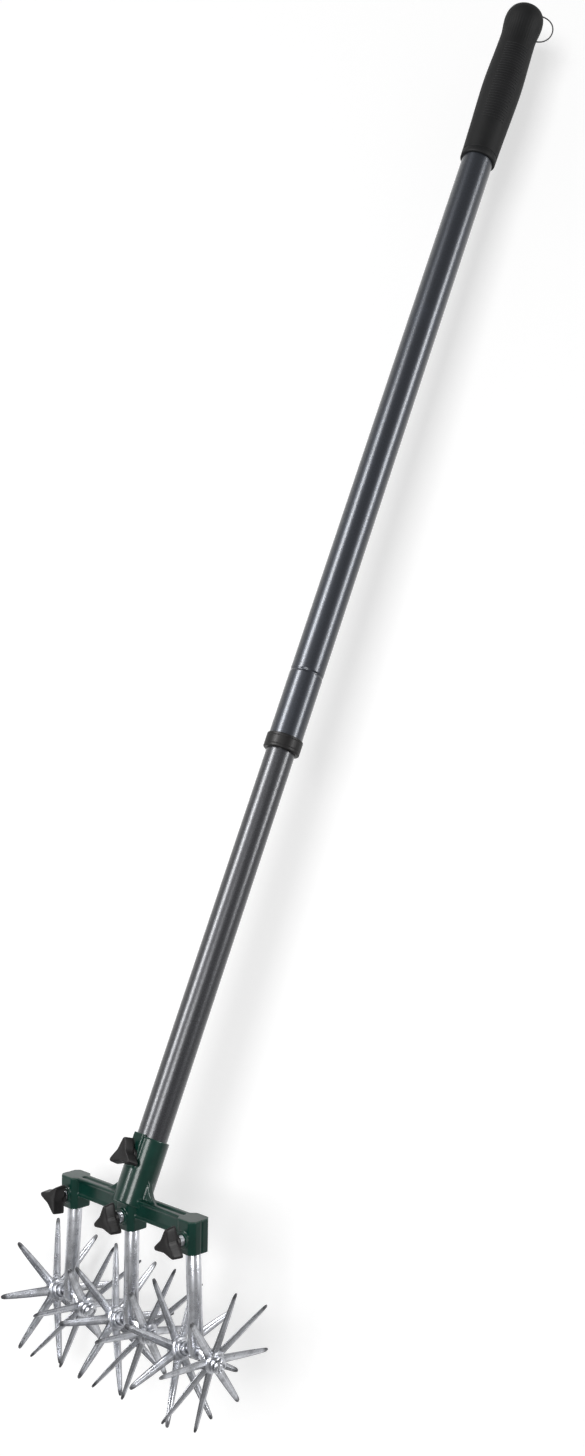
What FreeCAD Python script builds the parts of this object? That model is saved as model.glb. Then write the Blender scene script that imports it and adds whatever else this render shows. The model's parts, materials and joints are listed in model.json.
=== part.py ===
"""Rotary hand cultivator: three pairs of star wheels under a cast head on a telescopic handle.

Millimetres. The origin lies on the ground below the middle tine shaft. +X runs along the head's
beam, -Y is the front, where the clamping knobs stand, and +Z is up along the middle shaft.
The handle leans back towards +Y.
"""
import FreeCAD
import Part
import math
import os

V = FreeCAD.Vector
X_AXIS = V(1, 0, 0)
Y_AXIS = V(0, 1, 0)
Z_AXIS = V(0, 0, 1)

# Clearances
SLIDE_GAP = 0.05          # radial, tube in bush, tube in socket, shaft in socket
SPIN_GAP = 0.05           # radial, wheel on axle and cam on journal
THREAD_GAP = 0.04         # radial, stud in its tapped hole
SEAT_GAP = 0.3            # between faces of pieces that move past each other

# Handle, measured along its own axis from the middle of the head
HANDLE_LEAN = 24.5        # degrees back from the tine shafts
SOCKET_DEPTH = 42.0
SOCKET_RIM = 47.0
SOCKET_WALL = 2.2
LOWER_TUBE_OD = 25.0
LOWER_TUBE_WALL = 1.25
LOWER_TUBE_SHOWN = 334.0
LOWER_TUBE_HIDDEN = 300.0
UPPER_TUBE_OD = 29.2
UPPER_TUBE_WALL = 1.2
UPPER_TUBE_LENGTH = 768.0
CRIMP_UP = 70.0           # from the upper tube's lower end to its rolled groove
CRIMP_WIDTH = 3.0
CRIMP_DEPTH = 0.45
COLLAR_LENGTH = 13.0
COLLAR_WALL = 1.3
COLLAR_LIP = 2.0          # collar left below the end of the upper tube
COLLAR_FLAT_COUNT = 24
BUSH_PAST_CRIMP = 12.0

# Grip, many-sided and stepped along its length
GRIP_LENGTH = 181.4
GRIP_END_WALL = 9.4
GRIP_BARREL = ((16.8, 0.0), (17.6, 0.259), (18.7, 0.503), (18.8, 0.653), (17.5, 0.898))
#                                      radius, share of the length below the bulb
GRIP_BULB = ((17.3, 34.4), (18.4, 23.4), (18.8, 16.4), (17.7, 9.7), (14.6, 4.7), (8.4, 1.2), (1.5, 0.0))
#                                      radius, down from the grip's upper end
GRIP_FLAT_COUNT = 30
GRIP_RIB_COUNT = 19
GRIP_RIB_WIDTH = 2.4
GRIP_RIB_HEIGHT = 0.6
GRIP_RIB_SLOPE = 0.4      # each flank leans in by this much
GRIP_RIB_PITCH = 4.9
GRIP_RIB_FIRST = 42.0     # up from the grip's lower end
GRIP_RIB_FLAT_COUNT = 7   # flats of the grip that a rib crosses
GRIP_RIB_START = -84.0    # degrees from +X to a rib's first corner, a corner of the grip

# Hanging cord, in the plane through the handle's axis turned this far from +X to the back
CORD_DIAMETER = 1.3
CORD_FLAT_COUNT = 6
CORD_SIDE = 41.5
CORD_ROUTE = ((12.0, 3.9), (17.8, 3.9), (25.0, 7.4), (29.3, 14.4), (29.3, 23.4),
              (25.0, 30.4), (18.5, 33.4), (14.8, 33.4))   # out from the axis, down from the grip's end

# Twist lock inside the handle
LOCK_PRESS_LENGTH = 26.0
LOCK_FLANGE = 3.0
LOCK_JOURNAL_D = 13.0
LOCK_OFFSET = 1.2
LOCK_CAM_LENGTH = 14.0
LOCK_CAM_GAP = 0.35       # radial, unlocked cam in the upper tube
LOCK_FLAT_COUNT = 16      # fluted outsides of plug, flange and cam
LOCK_CAP_D = 22.0
LOCK_CAP_THICK = 3.0
LOCK_CAP_FLAT_COUNT = 6

# Cast head, heights measured from the point where the handle's axis meets the middle shaft's
SHAFT_PITCH = 71.0
SHAFT_SPLAY = 3.5         # degrees outward, outer shafts
BLOCK_WIDTH = 19.4
BLOCK_DEPTH = 20.0
BLOCK_CHAMFER = 3.5
BLOCK_TOP = 2.0
BLOCK_BOTTOM = -23.8
BLOCK_ROOF = 5.5
BEAM_DEPTH = 12.0
BEAM_HEIGHT = 15.0
BEAM_PANEL_DEPTH = 0.9
BEAM_PANEL_EDGE = 2.0
GROOVE_WIDTH = 4.0
GROOVE_DEPTH = 1.2
RAIL_LEAN = 0.4           # groove walls lean out by this much
SOCKET_ROOT = 6.0         # handle socket's foot below the head's middle
PAD_WIDTH = 11.0          # thick pad on the socket for the handle's knob
PAD_HEIGHT = 0.8
PAD_DROP = 7.0            # below the knob's axis
PAD_RISE = 1.5            # past the socket's rim
SEAM_WIDTH = 1.0          # parting groove round the ends of the casting
SEAM_DEPTH = 0.6
WEB_THICK = 5.0
WEB_REACH = 36.0          # from the middle along the beam
WEB_RISE = 30.0           # up the handle socket
WEB_ROOT = 4.0            # into the beam
WEB_BITE = 1.0            # into the socket's wall
BOSS_D = 13.0
BOSS_HEIGHT = 2.0

# Star knobs and their studs
STUD_D = 8.0
STUD_FLAT_COUNT = 12      # the thread's crests, drawn as flats
STUD_POINT_D = 5.6
STUD_POINT_LENGTH = 2.0
STUD_SHOWN = {"left": 3.0, "middle": 6.0, "right": 5.5, "handle": 0.2}
STUD_IN_KNOB = 8.0
KNOB_REACH = 13.6
KNOB_TIP_SPREAD = 7.0     # degrees, half the width of an arm's tip
KNOB_VALLEY_R = 6.1
KNOB_FLANK = ((22.0, 9.3), (38.0, 7.1), (60.0, KNOB_VALLEY_R), (82.0, 7.1), (98.0, 9.3))
#                                      degrees past an arm's middle, radius, along its hollow flank
KNOB_THICK = 9.6
KNOB_SHAPE = ((0.0, 0.93), (0.1, 1.0), (0.92, 0.93), (1.0, 0.85))
#                                      share of the thickness, share of the outline
KNOB_NECK_D = 14.0
KNOB_NECK = 2.0
KNOB_HEIGHT = -12.8       # axis of the three lower knobs
KNOB_UP_HANDLE = 29.5     # axis of the handle's knob, along the handle
KNOB_CLOCKING = {"left": 54.0, "middle": 86.0, "right": 84.0, "handle": 98.0}

# Tine shafts, axles and star wheels
SHAFT_OD = 11.8
SHAFT_WALL = 1.6
SHAFT_FLAT_COUNT = 16     # corners of the pressed part, on the tube's round
SHAFT_BORE_FLAT_COUNT = 12
AXLE_DROP = 98.8          # from the head's middle down to the axle
FOOT_THICK = 8.0
FOOT_WIDTH = 13.6
FOOT_RISE = 9.0           # flat foot above the axle
FOOT_TAPER = 24.0         # from the flat foot to the round tube
AXLE_D = 6.0
AXLE_KINK = 6.0           # half length of the axle's straight middle
AXLE_DROOP = 17.5         # degrees, both ends
STOP_D = 10.0             # swaged collar on the axle beside the hub
STOP_LENGTH = 3.8
STOP_AT = 2.4             # from the kink
AXLE_FLAT_COUNT = 10      # between the collars
CAP_D = 11.4
CAP_LENGTH = 3.2
CAP_ROOF = 0.8
CAP_EDGE = 1.2
CAP_FLAT_COUNT = 12
HUB_LENGTH = 13.0
HUB_FLAT_COUNT = 16       # two to a spike
HUB_BEAD_R = 7.2
HUB_RING_R = 9.2
HUB_RING_WIDTH = 7.6
HUB_NOSE_R = 6.6
SPIKE_COUNT = 8
SPIKE_REACH = 57.5
SPIKE_CONE = 3.5          # degrees, every wheel's spikes lean towards +X
SPIKE_ROOT_R = 6.4
SPIKE_SECTIONS = ((0.0, 7.4, 5.2), (1.0, 2.5, 1.9))   # share of reach, width, thickness
WHEEL_CLOCKING = (36.0, 34.0, 34.0, 33.0, 13.0, 38.0)   # degrees, first spike, left to right

# Places worked out from the sizes above
WHEEL_PLANE = STOP_AT + STOP_LENGTH + SEAT_GAP + HUB_LENGTH / 2   # from the kink
CAP_AT = WHEEL_PLANE + HUB_LENGTH / 2 + SEAT_GAP
AXLE_REACH = CAP_AT + CAP_LENGTH - CAP_ROOF
TIP_PLANE = WHEEL_PLANE + (SPIKE_REACH - SPIKE_ROOT_R) * math.tan(math.radians(SPIKE_CONE))
AXLE_HEIGHT = (SPIKE_REACH * math.cos(math.radians(AXLE_DROOP))
               + TIP_PLANE * math.sin(math.radians(AXLE_DROOP)))   # the lowest spike tip meets the ground
HEAD_HEIGHT = AXLE_HEIGHT + AXLE_DROP
LOWER_TUBE_START = SOCKET_RIM - SOCKET_DEPTH
COLLAR_START = SOCKET_RIM + LOWER_TUBE_SHOWN
UPPER_TUBE_START = COLLAR_START + COLLAR_LIP
LOWER_TUBE_END = COLLAR_START + LOWER_TUBE_HIDDEN
UPPER_TUBE_END = UPPER_TUBE_START + UPPER_TUBE_LENGTH
GRIP_END = UPPER_TUBE_END + GRIP_END_WALL
GRIP_START = GRIP_END - GRIP_LENGTH
GRIP_NECK = GRIP_LENGTH - GRIP_BULB[0][1]
GRIP_OUTLINE = (tuple((radius, share * GRIP_NECK) for radius, share in GRIP_BARREL)
                + tuple((radius, GRIP_LENGTH - down) for radius, down in GRIP_BULB))
UPPER_TUBE_BORE = UPPER_TUBE_OD - 2 * UPPER_TUBE_WALL
LOWER_TUBE_BORE = LOWER_TUBE_OD - 2 * LOWER_TUBE_WALL
SOCKET_OD = LOWER_TUBE_OD + 2 * (SLIDE_GAP + SOCKET_WALL)
SHAFT_TOP = BLOCK_TOP - BLOCK_ROOF - SEAT_GAP
BEAM_BOTTOM = BLOCK_TOP - BEAM_HEIGHT


def handle_frame():
    """Placement that takes a shape built up the Z axis onto the handle's axis."""
    return FreeCAD.Placement(V(0, 0, HEAD_HEIGHT), FreeCAD.Rotation(X_AXIS, -HANDLE_LEAN))


def on_handle(shape):
    shape.Placement = handle_frame().multiply(shape.Placement)
    return shape


def revolve(points):
    """Solid of revolution about the Z axis from (radius, height) points."""
    corners = [V(radius, 0, height) for radius, height in points]
    return Part.Face(Part.makePolygon(corners + corners[:1])).revolve(V(0, 0, 0), Z_AXIS, 360)


def polygon(sides, radius, height, turn=0.0):
    """Corners of a regular polygon round the Z axis, its first corner turned from +X."""
    corners = []
    for i in range(sides):
        angle = math.radians(turn + 360.0 * i / sides)
        corners.append(V(radius * math.cos(angle), radius * math.sin(angle), height))
    return corners


def flat_sided(rings, twisted=False):
    """Solid with flat ends and flat faces between matching rings of points, halved where they twist."""
    faces = []
    for low, high in zip(rings, rings[1:]):
        for i, a in enumerate(low):
            j = (i + 1) % len(low)
            b, c, d = low[j], high[j], high[i]
            sheets = [(a, b, c), (a, c, d)] if twisted else [(a, b, c, d)]
            faces += [Part.Face(Part.makePolygon(list(sheet) + [a])) for sheet in sheets]
    for end in (rings[0], rings[-1]):
        faces.append(Part.Face(Part.makePolygon(end + end[:1])))
    solid = Part.makeSolid(Part.makeShell(faces))
    if solid.Volume < 0:
        solid.reverse()
    return solid


def along_x(shape):
    """Shape built up the Z axis, laid along +X."""
    shape.rotate(V(0, 0, 0), Y_AXIS, 90)
    return shape


def grip_radius(height):
    """Radius of the grip's side at a height, straight between the outline's points."""
    for low, high in zip(GRIP_OUTLINE, GRIP_OUTLINE[1:]):
        if low[1] <= height <= high[1]:
            return low[0] + (high[0] - low[0]) * (height - low[1]) / (high[1] - low[1])
    raise ValueError("height is off the grip")


def make_grip_rib(low):
    """One raised rib across the fingers' side, let into the grip by its own height."""
    side = grip_radius(low + GRIP_RIB_WIDTH / 2)
    crest = side + GRIP_RIB_HEIGHT
    root = side - 2 * GRIP_RIB_HEIGHT
    high = low + GRIP_RIB_WIDTH
    rings = []
    steps = ((side, low), (crest, low + GRIP_RIB_SLOPE), (crest, high - GRIP_RIB_SLOPE), (side, high))
    for radius, height in steps:
        outer = polygon(GRIP_FLAT_COUNT, radius, height, GRIP_RIB_START)[:GRIP_RIB_FLAT_COUNT + 1]
        inner = polygon(GRIP_FLAT_COUNT, root, height, GRIP_RIB_START)[:GRIP_RIB_FLAT_COUNT + 1]
        rings.append(outer + inner[::-1])
    return flat_sided(rings)


def make_grip(cord):
    """Rubber grip with finger ribs, moulded round the ends of its cord."""
    body = flat_sided([polygon(GRIP_FLAT_COUNT, radius, height) for radius, height in GRIP_OUTLINE])
    ribs = [make_grip_rib(GRIP_RIB_FIRST + i * GRIP_RIB_PITCH) for i in range(GRIP_RIB_COUNT)]
    grip = body.fuse(ribs).cut(Part.makeCylinder(UPPER_TUBE_OD / 2, GRIP_LENGTH - GRIP_END_WALL))
    grip.translate(V(0, 0, GRIP_START))
    return on_handle(grip).cut(cord)


def cord_points():
    """The hanging cord's route in the part's frame."""
    side = V(math.cos(math.radians(CORD_SIDE)), math.sin(math.radians(CORD_SIDE)), 0)
    frame = handle_frame()
    return [frame.multVec(side * out + V(0, 0, GRIP_END - down)) for out, down in CORD_ROUTE]


def rounded_path(points):
    """Straight runs joined by tangent arcs, each as large as its two runs allow."""
    edges = []
    last = points[0]
    radii = []
    for before, here, after in zip(points, points[1:], points[2:]):
        a = (before - here).normalize()
        b = (after - here).normalize()
        half = a.getAngle(b) / 2
        reach = 0.45 * min((before - here).Length, (after - here).Length)
        radius = reach * math.tan(half)
        start = here + a * reach
        end = here + b * reach
        centre = here + (a + b).normalize() * (reach / math.cos(half))
        middle = centre + (here - centre).normalize() * radius
        edges.append(Part.LineSegment(last, start).toShape())
        edges.append(Part.Arc(start, middle, end).toShape())
        radii.append(radius)
        last = end
    edges.append(Part.LineSegment(last, points[-1]).toShape())
    return Part.Wire(edges), radii


def make_cord():
    """Cord along its route, its section a many-sided figure of the round cord's area."""
    points = cord_points()
    path, radii = rounded_path(points)
    area = math.pi * CORD_DIAMETER ** 2 / 4
    corner = math.sqrt(2 * area / (CORD_FLAT_COUNT * math.sin(2 * math.pi / CORD_FLAT_COUNT)))
    corners = polygon(CORD_FLAT_COUNT, corner, 0)
    section = Part.makePolygon(corners + corners[:1])
    section.Placement = FreeCAD.Placement(points[0], FreeCAD.Rotation(Z_AXIS, points[1] - points[0]))
    tube = path.makePipeShell([section], True, False)
    print("cord radii", [round(r, 2) for r in radii], "length", round(path.Length, 1),
          "volume ratio", round(tube.Volume / (area * path.Length), 4))
    return tube


def make_upper_tube():
    """Drawn tube with a rolled groove that holds the guide bush, seen in section as one outline."""
    outer = UPPER_TUBE_OD / 2
    inner = UPPER_TUBE_BORE / 2
    low = UPPER_TUBE_START
    groove = low + CRIMP_UP
    half = CRIMP_WIDTH / 2
    dip = CRIMP_DEPTH
    return on_handle(revolve([
        (outer, low), (outer, groove - half), (outer - dip, groove), (outer, groove + half),
        (outer, UPPER_TUBE_END), (inner, UPPER_TUBE_END), (inner, groove + half),
        (inner - dip, groove), (inner, groove - half), (inner, low)]))


def make_collar():
    """Moulded collar over the end of the upper tube, with its guide bush inside the tube."""
    fit = UPPER_TUBE_BORE / 2
    head = UPPER_TUBE_OD / 2 + COLLAR_WALL
    end = COLLAR_START + COLLAR_LENGTH
    groove = UPPER_TUBE_START + CRIMP_UP
    half = CRIMP_WIDTH / 2
    top = groove + BUSH_PAST_CRIMP
    steps = ((fit, COLLAR_START), (fit, groove - half), (fit - CRIMP_DEPTH, groove),
             (fit, groove + half), (fit, top))
    bush = flat_sided([polygon(COLLAR_FLAT_COUNT, radius, height) for radius, height in steps])
    rim = flat_sided([polygon(COLLAR_FLAT_COUNT, head, COLLAR_START), polygon(COLLAR_FLAT_COUNT, head, end)])
    seat = Part.makeCylinder(UPPER_TUBE_OD / 2, COLLAR_LENGTH, V(0, 0, UPPER_TUBE_START))
    bore = Part.makeCylinder(LOWER_TUBE_OD / 2 + SLIDE_GAP, top - COLLAR_START, V(0, 0, COLLAR_START))
    return on_handle(rim.cut(seat).fuse(bush).cut(bore))


def make_lower_tube():
    length = LOWER_TUBE_END - LOWER_TUBE_START
    start = V(0, 0, LOWER_TUBE_START)
    outer = Part.makeCylinder(LOWER_TUBE_OD / 2, length, start)
    return on_handle(outer.cut(Part.makeCylinder(LOWER_TUBE_BORE / 2, length, start)))


def make_lock_plug():
    """Fluted plug pressed into the lower tube, with an eccentric round journal above its flange."""
    low = LOWER_TUBE_END - LOCK_PRESS_LENGTH
    top = LOWER_TUBE_END + LOCK_FLANGE
    plug = flat_sided([polygon(LOCK_FLAT_COUNT, LOWER_TUBE_BORE / 2, low),
                       polygon(LOCK_FLAT_COUNT, LOWER_TUBE_BORE / 2, LOWER_TUBE_END),
                       polygon(LOCK_FLAT_COUNT, LOWER_TUBE_OD / 2, LOWER_TUBE_END),
                       polygon(LOCK_FLAT_COUNT, LOWER_TUBE_OD / 2, top)])
    journal = Part.makeCylinder(LOCK_JOURNAL_D / 2, LOCK_CAM_LENGTH + 2 * SEAT_GAP, V(LOCK_OFFSET, 0, top))
    return on_handle(plug.fuse(journal))


def make_lock_cam():
    """Cam ring on the eccentric journal: turned with the handle it wedges in the upper tube."""
    low = LOWER_TUBE_END + LOCK_FLANGE + SEAT_GAP
    outer = UPPER_TUBE_BORE / 2 - LOCK_CAM_GAP
    cam = flat_sided([polygon(LOCK_FLAT_COUNT, outer, low),
                      polygon(LOCK_FLAT_COUNT, outer, low + LOCK_CAM_LENGTH)])
    bore = Part.makeCylinder(LOCK_JOURNAL_D / 2 + SPIN_GAP, LOCK_CAM_LENGTH, V(LOCK_OFFSET, 0, low))
    return on_handle(cam.cut(bore))


def make_lock_cap():
    """Six-sided cap snapped on the journal's end."""
    low = LOWER_TUBE_END + LOCK_FLANGE + LOCK_CAM_LENGTH + 2 * SEAT_GAP
    cap = flat_sided([polygon(LOCK_CAP_FLAT_COUNT, LOCK_CAP_D / 2, low),
                      polygon(LOCK_CAP_FLAT_COUNT, LOCK_CAP_D / 2, low + LOCK_CAP_THICK)])
    cap.translate(V(LOCK_OFFSET, 0, 0))
    return on_handle(cap)


def head_prism(points, low, high):
    """Upright prism in the head from plan points, heights taken from the head's middle."""
    corners = [V(x, y, HEAD_HEIGHT + low) for x, y in points]
    return Part.Face(Part.makePolygon(corners + corners[:1])).extrude(V(0, 0, high - low))


def make_block(x):
    """Eight-sided shaft socket, before it is bored."""
    w = BLOCK_WIDTH / 2
    d = BLOCK_DEPTH / 2
    c = BLOCK_CHAMFER
    plan = [(x - w, -d + c), (x - w + c, -d), (x + w - c, -d), (x + w, -d + c),
            (x + w, d - c), (x + w - c, d), (x - w + c, d), (x - w, d - c)]
    block = head_prism(plan, BLOCK_BOTTOM, BLOCK_TOP)
    centre = V(x, 0, HEAD_HEIGHT + KNOB_HEIGHT)
    boss = Part.makeCylinder(BOSS_D / 2, BLOCK_DEPTH / 2 + BOSS_HEIGHT, centre, -Y_AXIS)
    return block.fuse(boss)


def make_beam():
    """Beam of one section: sunk panels front and back, and a groove between two rails on top."""
    d = BEAM_DEPTH / 2
    sunk = d - BEAM_PANEL_DEPTH
    top = BLOCK_TOP
    low = BEAM_BOTTOM
    edge = BEAM_PANEL_EDGE
    half = GROOVE_WIDTH / 2
    foot = half - RAIL_LEAN
    inner = edge + BEAM_PANEL_DEPTH
    outline = [(-d, top), (-half, top), (-foot, top - GROOVE_DEPTH), (foot, top - GROOVE_DEPTH),
               (half, top), (d, top), (d, top - edge), (sunk, top - inner), (sunk, low + inner),
               (d, low + edge), (d, low), (-d, low), (-d, low + edge), (-sunk, low + inner),
               (-sunk, top - inner), (-d, top - edge)]
    corners = [V(-SHAFT_PITCH, y, HEAD_HEIGHT + z) for y, z in outline]
    return Part.Face(Part.makePolygon(corners + corners[:1])).extrude(V(2 * SHAFT_PITCH, 0, 0))


def make_web(side):
    """Gusset from the beam up the side of the handle socket, with a hollow curved edge."""
    wall = SOCKET_OD / 2 - WEB_BITE
    span = WEB_REACH - wall
    foot = V(side * WEB_REACH, 0, 0)
    peak = V(side * (wall + WEB_BITE), 0, WEB_RISE)
    bend = V(side * (wall + 0.24 * span), 0, 0.26 * WEB_RISE)
    inner_peak = V(side * wall, 0, WEB_RISE)
    corner = V(side * wall, 0, -WEB_ROOT)
    toe = V(side * WEB_REACH, 0, -WEB_ROOT)
    edges = [Part.Arc(foot, bend, peak).toShape(),
             Part.LineSegment(peak, inner_peak).toShape(),
             Part.LineSegment(inner_peak, corner).toShape(),
             Part.LineSegment(corner, toe).toShape(),
             Part.LineSegment(toe, foot).toShape()]
    web = Part.Face(Part.Wire(edges)).extrude(V(0, WEB_THICK, 0))
    web.translate(V(0, -WEB_THICK / 2, 0))
    return on_handle(web)


def splayed(shape, position):
    """Shape built on the middle shaft's axis, moved to its socket and splayed about its knob's height."""
    shape.rotate(V(0, 0, HEAD_HEIGHT + KNOB_HEIGHT), Y_AXIS, -position * SHAFT_SPLAY)
    shape.translate(V(position * SHAFT_PITCH, 0, 0))
    return shape


def make_head():
    sides = (-1, 0, 1)
    knob_height = HEAD_HEIGHT + KNOB_HEIGHT
    below = Part.makeBox(SHAFT_PITCH, SHAFT_PITCH, SHAFT_PITCH,
                         V(-SHAFT_PITCH / 2, -SHAFT_PITCH / 2, HEAD_HEIGHT + BEAM_BOTTOM - SHAFT_PITCH))
    socket = on_handle(Part.makeCylinder(SOCKET_OD / 2, SOCKET_RIM + SOCKET_ROOT, V(0, 0, -SOCKET_ROOT)))
    out = SOCKET_OD / 2 + PAD_HEIGHT
    pad_low = KNOB_UP_HANDLE - PAD_DROP
    pad = Part.makeBox(PAD_WIDTH, out, SOCKET_RIM + PAD_RISE - pad_low, V(-PAD_WIDTH / 2, -out, pad_low))
    solids = [make_block(position * SHAFT_PITCH) for position in sides]
    solids += [socket.cut(below), on_handle(pad), make_web(-1), make_web(1)]
    body = make_beam().fuse(solids)

    foot = V(0, 0, LOWER_TUBE_START)
    bore = Part.makeCylinder(LOWER_TUBE_OD / 2 + SLIDE_GAP, SOCKET_DEPTH + 2 * PAD_RISE, foot)
    tapped = Part.makeCylinder(STUD_D / 2 + THREAD_GAP, SOCKET_OD, V(0, 0, KNOB_UP_HANDLE), -Y_AXIS)
    tools = [on_handle(bore), on_handle(tapped)]
    depth = BLOCK_TOP - BLOCK_ROOF - BLOCK_BOTTOM
    low = HEAD_HEIGHT + BLOCK_BOTTOM - depth
    for position in sides:
        bore = Part.makeCylinder(SHAFT_OD / 2 + SLIDE_GAP, 2 * depth, V(0, 0, low))
        tapped = Part.makeCylinder(STUD_D / 2 + THREAD_GAP, BLOCK_DEPTH, V(0, 0, knob_height), -Y_AXIS)
        tools.append(splayed(bore, position))
        tools.append(splayed(tapped, position))
        if position:
            end = position * (SHAFT_PITCH + BLOCK_WIDTH / 2)
            corner = V(end - SEAM_DEPTH, -SEAM_WIDTH / 2, low)
            tools.append(Part.makeBox(2 * SEAM_DEPTH, SEAM_WIDTH, 4 * depth, corner))
    return body.cut(tools)


def knob_ring(share, scale, clocking):
    """Three-armed outline with hollow flanks, at a share of the knob's thickness."""
    corners = []
    for arm in range(3):
        middle = clocking + 120 * arm
        arm_points = [(-KNOB_TIP_SPREAD, KNOB_REACH), (KNOB_TIP_SPREAD, KNOB_REACH)] + list(KNOB_FLANK)
        for degrees, radius in arm_points:
            angle = math.radians(middle + degrees)
            corners.append(V(scale * radius * math.cos(angle), scale * radius * math.sin(angle),
                             KNOB_NECK + share * KNOB_THICK))
    return corners


def make_knob_solid(clocking):
    """Knob standing up the Z axis, its neck at height 0, moulded round the end of its stud."""
    star = flat_sided([knob_ring(share, scale, clocking) for share, scale in KNOB_SHAPE])
    neck = flat_sided([polygon(STUD_FLAT_COUNT, KNOB_NECK_D / 2, 0),
                       polygon(STUD_FLAT_COUNT, KNOB_VALLEY_R, KNOB_NECK + KNOB_THICK / 8)])
    hole = flat_sided([polygon(STUD_FLAT_COUNT, STUD_D / 2, 0),
                       polygon(STUD_FLAT_COUNT, STUD_D / 2, STUD_IN_KNOB)])
    return star.fuse(neck).cut(hole)


def make_stud_solid(seat_depth, shown):
    """Stud along Z: its dog point seat_depth below the boss, its other end in the knob."""
    low = -seat_depth
    point = low + STUD_POINT_LENGTH
    thread = point + (STUD_D - STUD_POINT_D) / 2
    steps = ((STUD_POINT_D, low), (STUD_POINT_D, point), (STUD_D, thread), (STUD_D, shown + STUD_IN_KNOB))
    return flat_sided([polygon(STUD_FLAT_COUNT, diameter / 2, height) for diameter, height in steps])


def point_forward(shape, out, height):
    """Turn a shape from +Z to the front and set it at a boss, out from the axis."""
    shape.rotate(V(0, 0, 0), X_AXIS, 90)
    shape.translate(V(0, -out, height))
    return shape


def write_knob(name, boss_face, seat, height, place):
    """Write one knob and its stud, carried to their boss by the function place."""
    shown = STUD_SHOWN[name]
    knob = make_knob_solid(KNOB_CLOCKING[name])
    knob.translate(V(0, 0, shown))
    stud = make_stud_solid(boss_face - seat - SEAT_GAP, shown)
    write("knob_" + name, place(point_forward(knob, boss_face, height)))
    write("knob_stud_" + name, place(point_forward(stud, boss_face, height)))


def write_knobs():
    block_face = BLOCK_DEPTH / 2 + BOSS_HEIGHT
    height = HEAD_HEIGHT + KNOB_HEIGHT
    for name, position in (("left", -1), ("middle", 0), ("right", 1)):
        write_knob(name, block_face, SHAFT_OD / 2, height, lambda shape: splayed(shape, position))
    write_knob("handle", SOCKET_OD / 2 + PAD_HEIGHT, LOWER_TUBE_OD / 2, KNOB_UP_HANDLE, on_handle)


def shaft_ring(thick, width, height):
    """Ring of points on the shaft's outside, round or with two flats and round edges."""
    corners = []
    for i in range(SHAFT_FLAT_COUNT):
        angle = 2 * math.pi * (i + 0.5) / SHAFT_FLAT_COUNT
        y = width / 2 * math.sin(angle)
        past = max(0.0, abs(y) - (width - thick) / 2)
        x = math.copysign(math.sqrt(max(0.0, thick ** 2 / 4 - past ** 2)), math.cos(angle))
        corners.append(V(x, y, height))
    return corners


def make_shaft():
    """Tine shaft: tube above, pressed flat round the axle at its foot."""
    foot_top = AXLE_HEIGHT + FOOT_RISE
    round_low = foot_top + FOOT_TAPER
    top = HEAD_HEIGHT + SHAFT_TOP
    tube = Part.makeCylinder(SHAFT_OD / 2, top - round_low, V(0, 0, round_low))
    pressed = flat_sided([shaft_ring(FOOT_THICK, FOOT_WIDTH, AXLE_HEIGHT),
                          shaft_ring(FOOT_THICK, FOOT_WIDTH, foot_top),
                          shaft_ring(SHAFT_OD, SHAFT_OD, round_low)], True)
    eye = flat_sided([polygon(SHAFT_FLAT_COUNT, FOOT_WIDTH / 2, -FOOT_THICK / 2),
                      polygon(SHAFT_FLAT_COUNT, FOOT_WIDTH / 2, FOOT_THICK / 2)])
    eye = along_x(eye)
    eye.translate(V(0, 0, AXLE_HEIGHT))
    bore = flat_sided([polygon(SHAFT_BORE_FLAT_COUNT, SHAFT_OD / 2 - SHAFT_WALL, round_low),
                       polygon(SHAFT_BORE_FLAT_COUNT, SHAFT_OD / 2 - SHAFT_WALL, top)])
    hole = Part.makeCylinder(AXLE_D / 2, 2 * FOOT_THICK, V(-FOOT_THICK, 0, AXLE_HEIGHT), X_AXIS)
    return tube.fuse([pressed, eye]).cut([bore, hole])


def rod_ring(side, radius, along):
    """Many-sided ring round the axle, a distance out from its left or right kink."""
    droop = math.radians(AXLE_DROOP)
    corners = []
    for corner in polygon(AXLE_FLAT_COUNT, radius, 0):
        if along == 0:
            out = AXLE_KINK + corner.y * math.tan(droop / 2)
            up = corner.y
        else:
            out = AXLE_KINK + along * math.cos(droop) + corner.y * math.sin(droop)
            up = corner.y * math.cos(droop) - along * math.sin(droop)
        corners.append(V(side * out, corner.x, AXLE_HEIGHT + up))
    return corners


def make_axle():
    """Rod bent down at both sides of the foot, a swaged collar beside each hub, round under the hubs."""
    rod = AXLE_D / 2
    collar = STOP_D / 2
    end = STOP_AT + STOP_LENGTH
    steps = ((rod, 0), (rod, STOP_AT), (collar, STOP_AT), (collar, end))
    left = [rod_ring(-1, radius, along) for radius, along in steps]
    right = [rod_ring(1, radius, along) for radius, along in steps]
    middle = flat_sided(left[::-1] + right)
    start = end - STOP_LENGTH / 2
    journals = []
    for side in (-1, 1):
        journals.append(on_axle(Part.makeCylinder(rod, AXLE_REACH - start, V(start, 0, 0), X_AXIS), side))
    return middle.fuse(journals)


def on_axle(shape, side):
    """Shape built along +X from the kink, set on the axle's left or right end."""
    if side < 0:
        shape.rotate(V(0, 0, 0), Z_AXIS, 180)
    shape.rotate(V(0, 0, 0), Y_AXIS, side * AXLE_DROOP)
    shape.translate(V(side * AXLE_KINK, 0, AXLE_HEIGHT))
    return shape


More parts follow.
